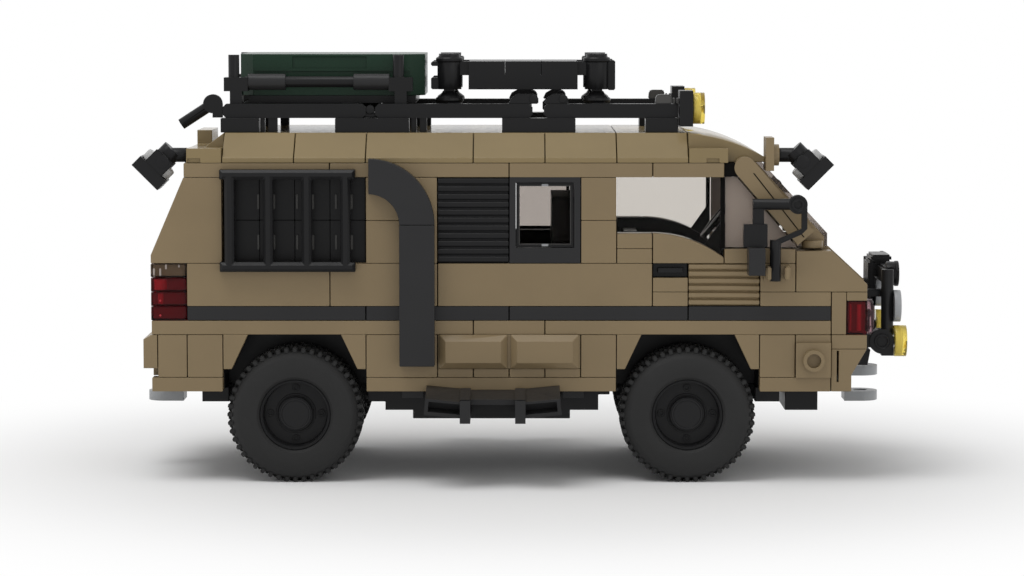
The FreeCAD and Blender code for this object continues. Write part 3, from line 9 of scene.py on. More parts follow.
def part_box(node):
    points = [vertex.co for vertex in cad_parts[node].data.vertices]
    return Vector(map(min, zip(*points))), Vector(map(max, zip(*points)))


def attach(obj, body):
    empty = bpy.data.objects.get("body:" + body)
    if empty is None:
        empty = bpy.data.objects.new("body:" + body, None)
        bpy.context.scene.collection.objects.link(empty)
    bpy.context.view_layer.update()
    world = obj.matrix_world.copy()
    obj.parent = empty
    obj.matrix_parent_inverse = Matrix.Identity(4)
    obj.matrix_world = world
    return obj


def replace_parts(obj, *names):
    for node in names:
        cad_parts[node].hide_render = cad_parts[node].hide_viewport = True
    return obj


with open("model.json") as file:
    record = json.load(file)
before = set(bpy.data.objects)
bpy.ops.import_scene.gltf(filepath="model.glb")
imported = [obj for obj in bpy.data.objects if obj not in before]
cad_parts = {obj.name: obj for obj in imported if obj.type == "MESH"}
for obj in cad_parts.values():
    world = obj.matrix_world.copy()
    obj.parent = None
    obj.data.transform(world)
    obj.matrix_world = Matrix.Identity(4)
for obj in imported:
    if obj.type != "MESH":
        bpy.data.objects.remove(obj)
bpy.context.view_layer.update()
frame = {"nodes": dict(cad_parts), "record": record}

nodes = frame["nodes"]
MM = 0.001
BODY = "van_body"
SIDES = (-1, 1)

# Sizes and places of the toy, in millimetres

PLATE = 3.2
STUD_RADIUS = 2.4
STUD_RISE = 1.7
REAR_AXLE_X = -50.966
SIDE_Y = 31.9
RAIL_Y = 20.0
RAIL_TOP = 84.6
SILL_Z = 52.6
DISC_Y = 27.9


# Materials: scales of the noises per metre, and the depth of their relief in metres

CLOUD_SCALE, GRAIN_SCALE, RIPPLE_SCALE = 55.0, 900.0, 140.0
RELIEF_DEPTH = 0.0001


def linear(colour):
    """A colour written as 0-255 display values, as linear light."""
    offset, power, slope, foot = 0.055, 2.4, 12.92, 10
    return [((c / 255 + offset) / (1 + offset)) ** power if c > foot else c / 255 / slope for c in colour]


def new_material(name):
    """A new material, its node tree and its shader."""
    material = bpy.data.materials.new(name)
    material.use_nodes = True
    tree = material.node_tree
    return material, tree, tree.nodes["Principled BSDF"]


def add_node(tree, kind, **inputs):
    """A new node with values on its inputs."""
    node = tree.nodes.new(kind)
    for key, value in inputs.items():
        node.inputs[key].default_value = value
    return node


def surface(tree, shader, noise, roughness, bump):
    """Lets a noise vary the roughness between two values and ripple the surface."""
    gloss = tree.nodes.new("ShaderNodeMapRange")
    gloss.inputs["To Min"].default_value = roughness[0]
    gloss.inputs["To Max"].default_value = roughness[1]
    tree.links.new(noise.outputs["Fac"], gloss.inputs["Value"])
    tree.links.new(gloss.outputs["Result"], shader.inputs["Roughness"])
    relief = add_node(tree, "ShaderNodeBump", Strength=bump, Distance=RELIEF_DEPTH)
    tree.links.new(noise.outputs["Fac"], relief.inputs["Height"])
    tree.links.new(relief.outputs["Normal"], shader.inputs["Normal"])


def plastic(name, colour, specular, roughness=0.34, tone=0.05, bump=0.04):
    """Moulded plastic: a faint drift of tone, a fine surface ripple and uneven gloss."""
    material, tree, shader = new_material(name)
    base = linear(colour)
    shader.inputs["Specular IOR Level"].default_value = specular
    place = tree.nodes.new("ShaderNodeTexCoord")
    cloud = add_node(tree, "ShaderNodeTexNoise", Scale=CLOUD_SCALE, Detail=3.0, Roughness=0.55)
    tree.links.new(place.outputs["Object"], cloud.inputs["Vector"])
    ramp = tree.nodes.new("ShaderNodeValToRGB")
    dark, pale = ramp.color_ramp.elements
    dark.position = 0.3
    pale.position = 0.7
    dark.color = [c * (1 - tone) for c in base] + [1]
    pale.color = [min(c * (1 + tone), 1) for c in base] + [1]
    tree.links.new(cloud.outputs["Fac"], ramp.inputs["Fac"])
    tree.links.new(ramp.outputs["Color"], shader.inputs["Base Color"])
    grain = add_node(tree, "ShaderNodeTexNoise", Scale=GRAIN_SCALE, Detail=2.0, Roughness=0.5)
    tree.links.new(place.outputs["Object"], grain.inputs["Vector"])
    surface(tree, shader, grain, (roughness - 0.05, roughness + 0.07), bump)
    return material


def rubber(name, colour):
    """Matt rubber with a dusty sheen and a fine stipple."""
    material = plastic(name, colour, specular=0.2, roughness=0.62, tone=0.08, bump=0.12)
    shader = material.node_tree.nodes["Principled BSDF"]
    shader.inputs["Sheen Weight"].default_value = 0.03
    shader.inputs["Sheen Roughness"].default_value = 0.5
    return material


def clear_plastic(name, colour, roughness=0.0, density=0.0, index=1.14):
    """Transparent plastic with a slight moulding ripple."""
    material, tree, shader = new_material(name)
    shader.inputs["Base Color"].default_value = linear(colour) + [1]
    shader.inputs["Transmission Weight"].default_value = 1.0 - density
    shader.inputs["Specular IOR Level"].default_value = 0.3
    shader.inputs["IOR"].default_value = index
    place = tree.nodes.new("ShaderNodeTexCoord")
    ripple = add_node(tree, "ShaderNodeTexNoise", Scale=RIPPLE_SCALE, Detail=1.0)
    tree.links.new(place.outputs["Object"], ripple.inputs["Vector"])
    surface(tree, shader, ripple, (roughness, roughness + 0.04), 0.004)
    return material


TAN = plastic("tan_plastic", (131, 114, 86), specular=0.26)
ROOF_TAN = plastic("roof_tan_plastic", (134, 117, 83), specular=0.26, roughness=0.16, bump=0.015)
BLACK = plastic("black_plastic", (27, 27, 28), specular=0.16, roughness=0.3)
# A matt copy of the black plastic, made darker as painted shade for the inner walls, dashboard, joints and
# seals.
MATT_SHADE_BLACK = plastic("matt_black_painted_shade", (15, 14, 13), specular=0.04, roughness=0.65)
DARK_GREY = plastic("dark_grey_plastic", (41, 41, 42), specular=0.18, roughness=0.32)
MID_GREY = plastic("mid_grey_plastic", (70, 69, 67), specular=0.3, roughness=0.3)
LIGHT_GREY = plastic("light_grey_plastic", (154, 156, 158), specular=0.3, roughness=0.32)
GREEN = plastic("green_plastic", (28, 52, 38), specular=0.15, roughness=0.28)
RIM = plastic("rim_plastic", (31, 31, 32), specular=0.16, roughness=0.36)
TYRE = rubber("tyre_rubber", (41, 41, 41))
GLASS = clear_plastic("clear_panes", (226, 223, 219))
SMOKED = clear_plastic("smoked_panes", (168, 158, 151), density=0.3, index=1.05)
PALE_SMOKE = clear_plastic("pale_smoked_panes", (202, 197, 193), index=1.05)
QUARTER_TINT = clear_plastic("quarter_tint", (212, 200, 193), roughness=0.05, density=0.82)
CLEAR_LENS = clear_plastic("clear_lens", (178, 168, 166), index=1.2)
DISC_LENS = clear_plastic("disc_lens", (150, 118, 124), density=0.1, index=1.2)
FROSTED_LENS = clear_plastic("frosted_lens", (198, 198, 197), roughness=0.2, density=0.8)
RED_LENS = clear_plastic("red_lens", (196, 62, 72), index=1.2)
YELLOW_LENS = clear_plastic("yellow_lens", (240, 216, 104), roughness=0.03, density=0.12, index=1.3)
# White for the reflectors in the yellow lamps, and for the white marks on the rear lamps that are painted
# glints.
WHITE_AND_GLINT = plastic("white_plastic_and_painted_glints", (236, 234, 226), specular=0.3, roughness=0.3)
# A dark red-grey for the cores inside the red lamps and behind the front indicators: painted shade.
SHADE_RED = plastic("deep_red_painted_shade", (104, 72, 76), specular=0.1, roughness=0.4)
# A pale red for the rods inside the lamps: studs in part, and painted highlight.
HIGHLIGHT_RED = plastic("red_painted_highlight", (160, 98, 104), specular=0.2, roughness=0.3)
SLOTS = {
    "tan": TAN, "black": BLACK, "dark_grey": DARK_GREY, "light_grey": LIGHT_GREY, "green": GREEN,
    "rim": RIM, "tyre": TYRE, "clear_glass": GLASS, "smoked_glass": PALE_SMOKE, "clear_lens": CLEAR_LENS,
    "red_lens": RED_LENS, "yellow_lens": YELLOW_LENS,
}
# Materials of single nodes; the inner walls and dashboard take the darker matt black, which paints their
# shade.
OWN_FINISH_AND_SHADE = {
    "roof_panels": ROOF_TAN, "roof_ends": ROOF_TAN, "windscreen": SMOKED, "inner_walls": MATT_SHADE_BLACK,
    "dashboard": MATT_SHADE_BLACK,
}


# Finish of the solids, in millimetres: bricks get the small rounded edge that moulding leaves

PANES = ("clear_glass", "smoked_glass")
PANE_GAP = 0.05
BRICK_EDGE, PANE_EDGE, WHEEL_EDGE = 0.16, 0.06, 0.12
EDGE_WIDTHS = {"clear_glass": PANE_EDGE, "smoked_glass": PANE_EDGE, "tyre": WHEEL_EDGE, "rim": WHEEL_EDGE}
WELD_DISTANCE = 0.004
EDGE_ANGLE = math.radians(35)


def dress(node, slot, material):
    """Gives a solid its material, welds its mesh, draws panes in by a hair and rounds the edges."""
    node.data.materials.clear()
    node.data.materials.append(material)
    weld = node.modifiers.new("weld", "WELD")
    weld.merge_threshold = WELD_DISTANCE * MM
    if slot in PANES:
        gap = node.modifiers.new("gap", "DISPLACE")
        gap.mid_level = 0.0
        gap.strength = -PANE_GAP * MM
    edge = node.modifiers.new("edge", "BEVEL")
    edge.width = EDGE_WIDTHS.get(slot, BRICK_EDGE) * MM
    edge.segments = 2
    edge.limit_method = "ANGLE"
    edge.angle_limit = EDGE_ANGLE
    edge.use_clamp_overlap = True
    edge.harden_normals = True


for entry in frame["record"]["subparts"]:
    slot = entry["material_slot"]
    dress(nodes[entry["node"]], slot, OWN_FINISH_AND_SHADE.get(entry["node"], SLOTS[slot]))


# Mesh helpers, in millimetres and radians

BEVEL_ANGLE = 0.6
SMOOTH_ANGLE = math.radians(32)
JOIN_DISTANCE = 0.0005


class Shape:
    """Gathers many small forms of one material into one mesh."""

    def __init__(self, name, material, body=BODY):
        self.name = name
        self.material = material
        self.body = body
        self.bm = bmesh.new()

    def _bevel(self, made, width):
        """Rounds the sharp edges of what was just made, where a width is given."""
        if width:
            edges = list({e for v in made for e in v.link_edges if e.calc_face_angle(0) > BEVEL_ANGLE})
            bmesh.ops.bevel(self.bm, geom=edges, offset=width, segments=2, affect="EDGES", clamp_overlap=True)

    def _turn(self, made, matrix):
        """Moves what was just made, where a matrix is given."""
        if matrix is not None:
            bmesh.ops.transform(self.bm, matrix=matrix, verts=made)

    def box(self, x, y, z, edge, matrix=None):
        """A block between low and high X, Y and Z."""
        size = Matrix.Diagonal((x[1] - x[0], y[1] - y[0], z[1] - z[0], 1))
        centre = Matrix.Translation(((x[0] + x[1]) / 2, (y[0] + y[1]) / 2, (z[0] + z[1]) / 2))
        made = bmesh.ops.create_cube(self.bm, size=1.0, matrix=centre @ size)["verts"]
        self._turn(made, matrix)
        self._bevel(made, edge)

    def lathe(self, profile, at, axis, segments, matrix=None):
        """A closed or open profile of (along, radius) turned about an axis through a point."""
        rings = []
        for along, radius in profile:
            if radius == 0:
                rings.append([self.bm.verts.new((0, 0, along))])
                continue
            ring = []
            for step in range(segments):
                angle = 2 * math.pi * step / segments
                ring.append(self.bm.verts.new((radius * math.cos(angle), radius * math.sin(angle), along)))
            rings.append(ring)
        for low, high in zip(rings, rings[1:]):
            for step in range(segments):
                after = (step + 1) % segments
                corners = [low[step % len(low)], low[after % len(low)]]
                corners += [high[after % len(high)], high[step % len(high)]]
                corners = list(dict.fromkeys(corners))
                if len(corners) > 2:
                    self.bm.faces.new(corners)
        turns = {
            "X": Matrix.Rotation(math.pi / 2, 4, "Y"),
            "Y": Matrix.Rotation(-math.pi / 2, 4, "X"),
            "Z": Matrix.Identity(4),
        }
        made = [v for ring in rings for v in ring]
        self._turn(made, Matrix.Translation(at) @ turns[axis])
        self._turn(made, matrix)

    def rod(self, start, length, radius, axis, edge=0.15, segments=32, matrix=None):
        """A round bar with softened ends."""
        edge = min(edge, radius * 0.4, abs(length) * 0.4)
        near = [(0, 0), (0, radius - edge), (edge * 0.3, radius - edge * 0.3), (edge, radius)]
        far = [(length - edge, radius), (length - edge * 0.3, radius - edge * 0.3)]
        far += [(length, radius - edge), (length, 0)]
        self.lathe(near + far, start, axis, segments, matrix)

    def ring(self, start, length, outer, inner, axis, edge, segments=40):
        """A tube with a square section and softened rims."""
        near = [(edge, inner), (0, inner + edge), (0, outer - edge), (edge, outer)]
        far = [(length - edge, outer), (length, outer - edge), (length, inner + edge), (length - edge, inner)]
        self.lathe(near + far + near[:1], start, axis, segments)

    def prism(self, corners, along, edge):
        """A flat outline of (X, Z) corners stretched between two places on Y."""
        near, far = [[self.bm.verts.new((x, y, z)) for x, z in corners] for y in along]
        self.bm.faces.new(near)
        self.bm.faces.new(far)
        for number in range(len(corners)):
            after = (number + 1) % len(corners)
            self.bm.faces.new((near[number], near[after], far[after], far[number]))
        made = near + far
        bmesh.ops.recalc_face_normals(self.bm, faces=list({f for v in made for f in v.link_faces}))
        self._bevel(made, edge)

    def stud(self, x, y, z):
        """A brick stud, standing up."""
        self.rod((x, y, z), STUD_RISE, STUD_RADIUS, "Z", edge=0.22, segments=28)

    def finish(self):
        """Makes one piece of what was gathered, and lets it ride its body."""
        bmesh.ops.remove_doubles(self.bm, verts=self.bm.verts, dist=JOIN_DISTANCE)
        bmesh.ops.recalc_face_normals(self.bm, faces=self.bm.faces)
        bmesh.ops.scale(self.bm, vec=(MM, MM, MM), verts=self.bm.verts)
        mesh = bpy.data.meshes.new(self.name)
        self.bm.to_mesh(mesh)
        self.bm.free()
        mesh.materials.append(self.material)
        for face in mesh.polygons:
            face.use_smooth = True
        mesh.set_sharp_from_angle(angle=SMOOTH_ANGLE)
        piece = bpy.data.objects.new(self.name, mesh)
        bpy.context.scene.collection.objects.link(piece)
        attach(piece, self.body)
        return piece


def ahead(*places):
    """X of places measured in millimetres ahead of the rear axle."""
    return tuple(x + REAR_AXLE_X for x in places)


def across(side, near, far):
    """A range of Y on the right (-1) or the left (1), from two distances off the middle."""
    return tuple(sorted((side * near, side * far)))


def ranges(name):
    """The ranges of X, Y and Z of a node, in millimetres."""
    low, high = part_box(name)
    return [(low[axis] / MM, high[axis] / MM) for axis in range(3)]


# Wheels: profiles are (depth from the outer face, radius)

TYRE_WIDTH, TYRE_RADIUS, TYRE_SEAT = 14.0, 15.2, 8.06
TYRE_WALL = [
    (0.7, TYRE_SEAT), (0.2, TYRE_SEAT + 0.5), (0.0, TYRE_SEAT + 1.6), (0.0, 12.7), (0.12, 12.95), (0.5, 13.5),
    (1.1, 14.05), (1.9, 14.35),
]
HUB_FLOOR = 4.6
HUB_RINGS = [
    ([(HUB_FLOOR, 4.5), (4.3, 4.4), (4.3, 4.12), (HUB_FLOOR, 4.0)], 64),
    ([(2.3, 0), (2.3, 2.9), (2.05, 3.1), (2.05, 3.45), (2.3, 3.7)], 64),
    ([(1.3, 7.95), (1.0, 7.75), (1.0, 7.55), (1.5, 7.3), (4.4, 7.15), (HUB_FLOOR, 6.95)], 96),
]


def tread(shape, centre, inward):
    """A tyre with smooth bulging walls and four staggered rows of small blocks."""
    wall = TYRE_WALL + [(TYRE_WIDTH - depth, radius) for depth, radius in reversed(TYRE_WALL)] + TYRE_WALL[:1]
    shape.lathe([(depth * inward, radius) for depth, radius in wall], centre, "Y", segments=144)
    count, block_half, block_foot = 48, 0.5, 13.9
    rows = [(0.9, 3.6, 0.0), (3.9, 6.8, 0.5), (7.2, 10.1, 0.0), (10.4, 13.1, 0.5)]
    for start, end, shift in rows:
        y = sorted((start * inward, end * inward))
        for number in range(count):
            angle = 2 * math.pi * (number + shift) / count
            turn = Matrix.Translation(centre) @ Matrix.Rotation(angle, 4, "Y")
            shape.box((-block_half, block_half), y, (block_foot, TYRE_RADIUS), edge=0.2, matrix=turn)


def hub_details(shape, centre, inward):
    """Turned rings on the rim, and four ring marks on its floor."""
    for profile, segments in HUB_RINGS:
        shape.lathe([(depth * inward, radius) for depth, radius in profile], centre, "Y", segments)
    circle, rise = 5.75, 0.35
    for quarter in range(4):
        angle = quarter * math.pi / 2
        spot = centre + Vector((circle * math.cos(angle), HUB_FLOOR * inward, circle * math.sin(angle)))
        shape.ring(spot, -rise * inward, 0.8, 0.45, "Y", edge=0.06, segments=20)


for name in ("rear_right", "rear_left", "front_right", "front_left"):
    low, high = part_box("tyre_" + name)
    inward = 1 if name.endswith("right") else -1
    centre = Vector(((low.x + high.x) / 2 / MM, -SIDE_Y * inward, (low.z + high.z) / 2 / MM))
    tyre = Shape("tread_" + name, TYRE, "wheel_" + name)
    tread(tyre, centre, inward)
    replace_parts(tyre.finish(), "tyre_" + name)
    hub = Shape("hub_" + name, RIM, "wheel_" + name)
    hub_details(hub, centre, inward)
    hub.finish()


# Side windows

def shutters():
    """The dark panels behind the bars of the guard, four across and two high."""
    shape = Shape("shutter_panels", BLACK)
    first, pitch, width = -66.7, 7.9, 7.75
    rows = ((49.3, 58.7), (58.85, 68.4))
    for side in SIDES:
        y = across(side, 27.8, 28.25)
        for column in range(4):
            start = first + pitch * column
            for z in rows:
                shape.box((start, start + width), y, z, edge=0.1)
    shape.finish()


def window_joints():
    """The dark joint between the louvres and the sliding window."""
    shape = Shape("window_joints", MATT_SHADE_BLACK)
    for side in SIDES:
        shape.box((-3.6, -2.4), across(side, 27.7, 28.6), (49.6, 68.4), edge=0.05)
    shape.finish()


def latches():
    """Small catches on the shutters, in two rows behind the bars of the guard."""
    shape = Shape("shutter_catches", MID_GREY)
    first, pitch, height = -5.174, 8.7, 3.3
    wide, slim, behind = 0.8, 0.4, 3.2
    for side in SIDES:
        for number in range(3):
            start = first + pitch * number
            hook = start - behind
            for low in (52.2, 61.3):
                z = (low, low + height)
                shape.box(ahead(start, start + wide), across(side, 27.9, 28.9), z, edge=0.12)
                shape.box(ahead(hook, hook + slim), across(side, 27.9, 28.7), z, edge=0.08)
    shape.finish()


def slider_rims():
    """Black seals, pale pane edges and catches of the two sliding windows."""
    (x0, x1), _, (z0, z1) = ranges("slider_glass")
    seal = Shape("slider_seals", BLACK)
    rim = Shape("slider_pane_edges", MID_GREY)
    catch = Shape("slider_catches", LIGHT_GREY)
    border, line = 0.55, 0.22
    borders = ((seal, 0.0, border, (30.3, 31.2)), (rim, border, line, (30.3, 30.75)))
    middle, catch_half, catch_height, catch_margin = (x0 + x1) / 2, 0.8, 0.6, 0.15
    for side in SIDES:
        for shape, inset, width, depth in borders:
            y = across(side, *depth)
            low_x, high_x, low_z, high_z = x0 + inset, x1 - inset, z0 + inset, z1 - inset
            shape.box((low_x, low_x + width), y, (low_z, high_z), edge=0.05)
            shape.box((high_x - width, high_x), y, (low_z, high_z), edge=0.05)
            shape.box((low_x + width, high_x - width), y, (low_z, low_z + width), edge=0.05)
            shape.box((low_x + width, high_x - width), y, (high_z - width, high_z), edge=0.05)
        x = (middle - catch_half, middle + catch_half)
        for z in (z0 + catch_margin, z1 - catch_margin - catch_height):
            catch.box(x, across(side, 30.4, 31.3), (z, z + catch_height), edge=0.1)
    for shape in (seal, rim, catch):
        shape.finish()


def cab_trim():
    """Seals, gussets, tinted quarter panes and pillar seams beside the windscreen."""
    trim = Shape("quarter_seals", MATT_SHADE_BLACK)
    tint = Shape("quarter_tints", QUARTER_TINT)
    seam, head = 45.0, 68.5
    gusset = [(seam - 5.0, SILL_Z - 0.3), (seam - 0.5, SILL_Z - 2.4), (seam - 0.5, SILL_Z + 6.0)]
    pane = [(seam + 0.4, SILL_Z + 0.2), (seam + 16.4, SILL_Z + 0.2), (seam + 2.9, head), (seam + 0.4, head)]
    pillar_seam = [(51.35, 69.5), (51.65, 69.5), (62.95, 55.2), (62.65, 55.2)]
    for side in SIDES:
        trim.box((seam - 0.7, seam + 0.2), across(side, 28.3, 30.5), (SILL_Z, head), edge=0.1)
        trim.prism(gusset, across(side, 28.2, 29.2), edge=0.08)
        trim.box((seam, seam + 3.1), across(side, 24.2, 31.5), (68.7, 71.7), edge=0.15)
        tint.prism(pane, across(side, 28.6, 29.0), edge=0)
        trim.prism(pillar_seam, across(side, 31.6, 31.87), edge=0)
    trim.finish()
    tint.finish()


def cowl_studs():
    """The stud at each end of the cowl."""
    shape = Shape("cowl_studs", TAN)
    for side in SIDES:
        shape.stud(65.0, side * 28.0, SILL_Z)
    shape.finish()


shutters()
window_joints()
latches()
slider_rims()
cab_trim()
cowl_studs()


# Lamps

LAMP_FOOT = 36.6
PLATE_GAP = 0.1
TOP_ROW = 3


def lamp_row(row):
    """The range of Z of one plate in the stack of a rear lamp, counted from 0 at the bottom."""
    low = LAMP_FOOT + PLATE * row
    return low, low + PLATE - PLATE_GAP


def clear_lamps():
    """The clear tops of the rear lamps and the discs over the front indicators."""
    shape = Shape("clear_lamps", CLEAR_LENS)
    discs = Shape("indicator_discs", DISC_LENS)
    for side in SIDES:
        shape.box((-83.0, -75.1), across(side, 23.8, SIDE_Y), lamp_row(TOP_ROW), edge=0.16)
        discs.rod((77.0, side * DISC_Y, 37.2), 1.6, 3.9, "X", edge=0.25, segments=64)
    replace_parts(shape.finish(), "clear_lenses")
    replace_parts(discs.finish(), "clear_lenses")


def lamp_cores():
    """What shows inside the see-through lamp bricks: dark cores that paint shade, a tan core under the clear
    top, pale rods for the studs that also paint the bright patch, and small white painted glints.
    """
    dark = Shape("lamp_cores", SHADE_RED)
    smoky = Shape("lamp_top_cores", TAN)
    pale = Shape("lamp_studs_and_highlights", HIGHLIGHT_RED)
    spark = Shape("lamp_painted_glints", WHITE_AND_GLINT)
    # The pale rods stand for the studs and paint the bright patch of each red row; the largest sits in the
    # top red row, which reads brightest.
    cores, stud_highlight_radii = (dark, dark, dark, smoky), (0.5, 0.8, 1.5)
    inset, stud_inset, stud_length = 0.25, 0.3, 2.5
    front_foot, front_length = 34.2, 6.0
    top_glints = ((-82.3, 46.6, 48.2), (-80.9, 46.5, 48.2), (-79.6, 48.0, 49.1), (-76.7, 48.4, 49.0))
    glint_half, red_glint = 0.2, 0.5
    for side in SIDES:
        # Dark cores in the three red rows are painted shade; the tan core under the clear top row is the body
        # behind it.
        for row, core in enumerate(cores):
            low, high = lamp_row(row)
            core.box((-82.6, -75.4), across(side, 24.2, 30.4), (low + inset, high - inset), edge=0.1)
            if row < len(stud_highlight_radii):
                pale.rod((-80.9, side * 29.9, low + stud_inset), stud_length, stud_highlight_radii[row], "Z")
        # Small white boxes on the faces of the rear lamps, on the clear top and on the red rows, are painted
        # glints.
        for x, low, high in top_glints:
            spark.box((x - glint_half, x + glint_half), across(side, 31.0, 31.5), (low, high), edge=0.1)
        for low in (37.4, 40.7):
            spark.box((-81.2, -80.7), across(side, 31.2, 31.5), (low, low + red_glint), edge=0.12)
        # A dark box behind each front indicator disc, as painted shade.
        dark.box((72.8, 76.7), across(side, 28.2, 30.9), (33.7, 40.7), edge=0.1)
        # Two thin pale rods in each front indicator are painted highlights.
        pale.rod((75.3, side * 30.7, front_foot), front_length, 0.55, "Z", segments=20)
        pale.rod((73.4, side * 30.9, front_foot), front_length, 0.2, "Z", segments=16)
    for shape in (dark, smoky, pale, spark):
        shape.finish()


def yellow_lamp_cores():
    """The pale reflectors in the yellow lamps on the front bar and on the rack."""
    shape = Shape("yellow_lamp_cores", WHITE_AND_GLINT)
    depth, radius = 1.6, 2.9
    for side in SIDES:
        for x, z in ((84.5, 30.85), (38.6, 83.55)):
            shape.rod((x, side * RAIL_Y, z), depth, radius, "X", edge=0.3, segments=40)
    shape.finish()


def kerb_claws():
    """Each kerb mirror's frosted disc and the claw that holds it, square on the back of its tile."""
    shape = Shape("kerb_claws", BLACK)
    discs = Shape("kerb_discs", FROSTED_LENS)
    (x0, x1), _, _ = ranges("kerb_mirrors")
    tile_length, tile_thickness, tile_z = 8.0, 2.8, 69.5
    tilt = math.radians(45)
    half_reach = (tile_length + tile_thickness) / 2 * math.cos(tilt)
    lift = tile_thickness / 2 * math.cos(tilt)
    jaw_x, jaw_z = (-2.5, 2.5), (0.0, 3.9)
    for centre, turn in ((x0 + half_reach, 1), (x1 - half_reach, -1)):
        origin = Matrix.Translation((centre + lift * turn, 0, tile_z + lift))
        matrix = origin @ Matrix.Rotation(tilt * turn, 4, "Y")
        discs.rod((0, -DISC_Y, 0.02), 2.3, 3.85, "Z", edge=0.35, segments=64, matrix=matrix)
        for jaw_y in ((-32.2, -30.4), (-25.4, -24.2)):
            shape.box(jaw_x, jaw_y, jaw_z, edge=0.25, matrix=matrix)
        shape.rod((0.4 * turn, -32.3, 2.6), 7.9, 1.5, "Y", matrix=matrix)
    shape.finish()
    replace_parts(discs.finish(), "clear_lenses")


clear_lamps()
lamp_cores()
yellow_lamp_cores()
kerb_claws()


# Rack and its load

def clip_outline(x0, x1, steps, heights):
    """A clip on the rail, seen from the side: two slopes up at the rear, a flat top, one slope in front."""
    (rear_low, rear_high, front), (shoulder, crown) = steps, heights
    rear = [(x0, RAIL_TOP), (x0 + rear_low, shoulder), (x0 + rear_high, crown)]
    return rear + [(x1 - front, crown), (x1, shoulder), (x1, RAIL_TOP)]


def rack_details():
    """Thin posts, the hinge at the rail's joint and the clips that lie on the rails."""
    posts = Shape("rack_posts", BLACK)
    clips = Shape("rack_clips", BLACK)
    pale = Shape("front_rack_clips", MID_GREY)
    post_z = (78.2, 81.5)
    hinge_x, hinge_half = ahead(16.6)[0], 1.3
    pin_half = 1.6
    tooth_start, tooth_pitch, tooth_width = 0.25, 0.85, 0.45
    for side in SIDES:
        for span in ((-8.0, -7.1), (-6.35, -4.3), (25.9, 27.1), (27.85, 29.4)):
            posts.box(ahead(*span), across(side, 19.0, 21.0), post_z, edge=0.12)
        clips.rod((hinge_x, side * RAIL_Y - hinge_half, 83.3), 2 * hinge_half, 1.0, "Y")
        x = (hinge_x - hinge_half, hinge_x + hinge_half)
        clips.box(x, across(side, 18.9, 21.1), (81.5, 82.5), edge=0.3)
        for span in ((47.8, 54.6), (55.9, 61.3)):
            x0, x1 = ahead(*span)
            outline = clip_outline(x0, x1, (0.7, 2.1, 0.9), (86.0, 86.8))
            clips.prism(outline, across(side, 18.6, 21.3), edge=0.2)
            clips.rod((x1 - 1.2, side * RAIL_Y - pin_half, 85.7), 2 * pin_half, 0.9, "Y")
        x0, x1 = ahead(80.9, 84.7)
        outline = clip_outline(x0, x1, (0.2, 0.7, 0.3), (86.3, 86.7))
        pale.prism(outline, across(side, 18.7, 21.2), edge=0.2)
        for step in range(3):
            low = x1 + tooth_start + step * tooth_pitch
            pale.box((low, low + tooth_width), across(side, 19.0, 21.0), (RAIL_TOP, 85.9), edge=0.12)
    for shape in (posts, clips, pale):
        shape.finish()


def crate_details():
    """The crate's lip on each side and the sleeves on the tubes beside it."""
    (x0, x1), (_, y1), _ = ranges("cargo_crate")
    lip = Shape("crate_lips", GREEN)
    sleeve = Shape("cradle_sleeves", DARK_GREY)
    corner, tube_y, tube_z = 3.3, 18.4, 89.5
    for side in SIDES:
        lip.box((x0 + corner, x1 - corner), across(side, y1 - 0.1, y1 + 0.3), (91.8, 92.5), edge=0.1)
        for span in ((-11.0, -2.5), (12.8, 21.0)):
            start, end = ahead(*span)
            sleeve.ring((start, side * tube_y, tube_z), end - start, 1.85, 1.15, "X", edge=0.15)
    lip.finish()
    sleeve.finish()


def case_details():
    """Flared feet, tabs and cap rims of the case's corner posts."""
    (x0, x1), _, _ = ranges("cargo_case")
    shape = Shape("case_fittings", BLACK)
    case_half, post, cap_z = 12.0, 2.75, 93.8
    flare = [(0, 0), (0, 3.0), (0.5, 3.25), (1.0, 3.1), (1.8, 2.0), (2.6, 1.5), (2.6, 0)]
    rim = [(0, 0), (0, 2.9), (0.3, 3.1), (0.8, 3.1), (1.1, 2.9), (1.1, 0)]
    tab_near, tab_far, tab_half = 2.5, 4.2, 1.3
    for side in SIDES:
        y = side * (case_half - post)
        for x, outward in ((x0 + post, -1), (x1 - post, 1)):
            shape.lathe(flare, (x, y, RAIL_TOP), "Z", 40)
            shape.lathe(rim, (x, y, cap_z), "Z", 40)
            tab_x = sorted((x + outward * tab_near, x + outward * tab_far))
            tabs = ((92.9, 93.9), (87.6, 90.3)) if outward < 0 else ((87.4, 94.2),)
            for z in tabs:
                shape.box(tab_x, (y - tab_half, y + tab_half), z, edge=0.2)
    shape.finish()


rack_details()
crate_details()
case_details()


# Front bar, mirror clips and rear bumper

def bar_rings():
    """Ring marks on the round feet of the front bar and on the claws of the door mirrors."""
    shape = Shape("bar_rings", BLACK)
    for side in SIDES:
        shape.ring((81.5, side * 21.9, 30.9), side * 0.35, 1.75, 1.2, "Y", edge=0.08, segments=32)
        shape.ring((61.0, side * 37.0, 62.8), side * 0.4, 1.5, 0.85, "Y", edge=0.08, segments=32)
    shape.finish()


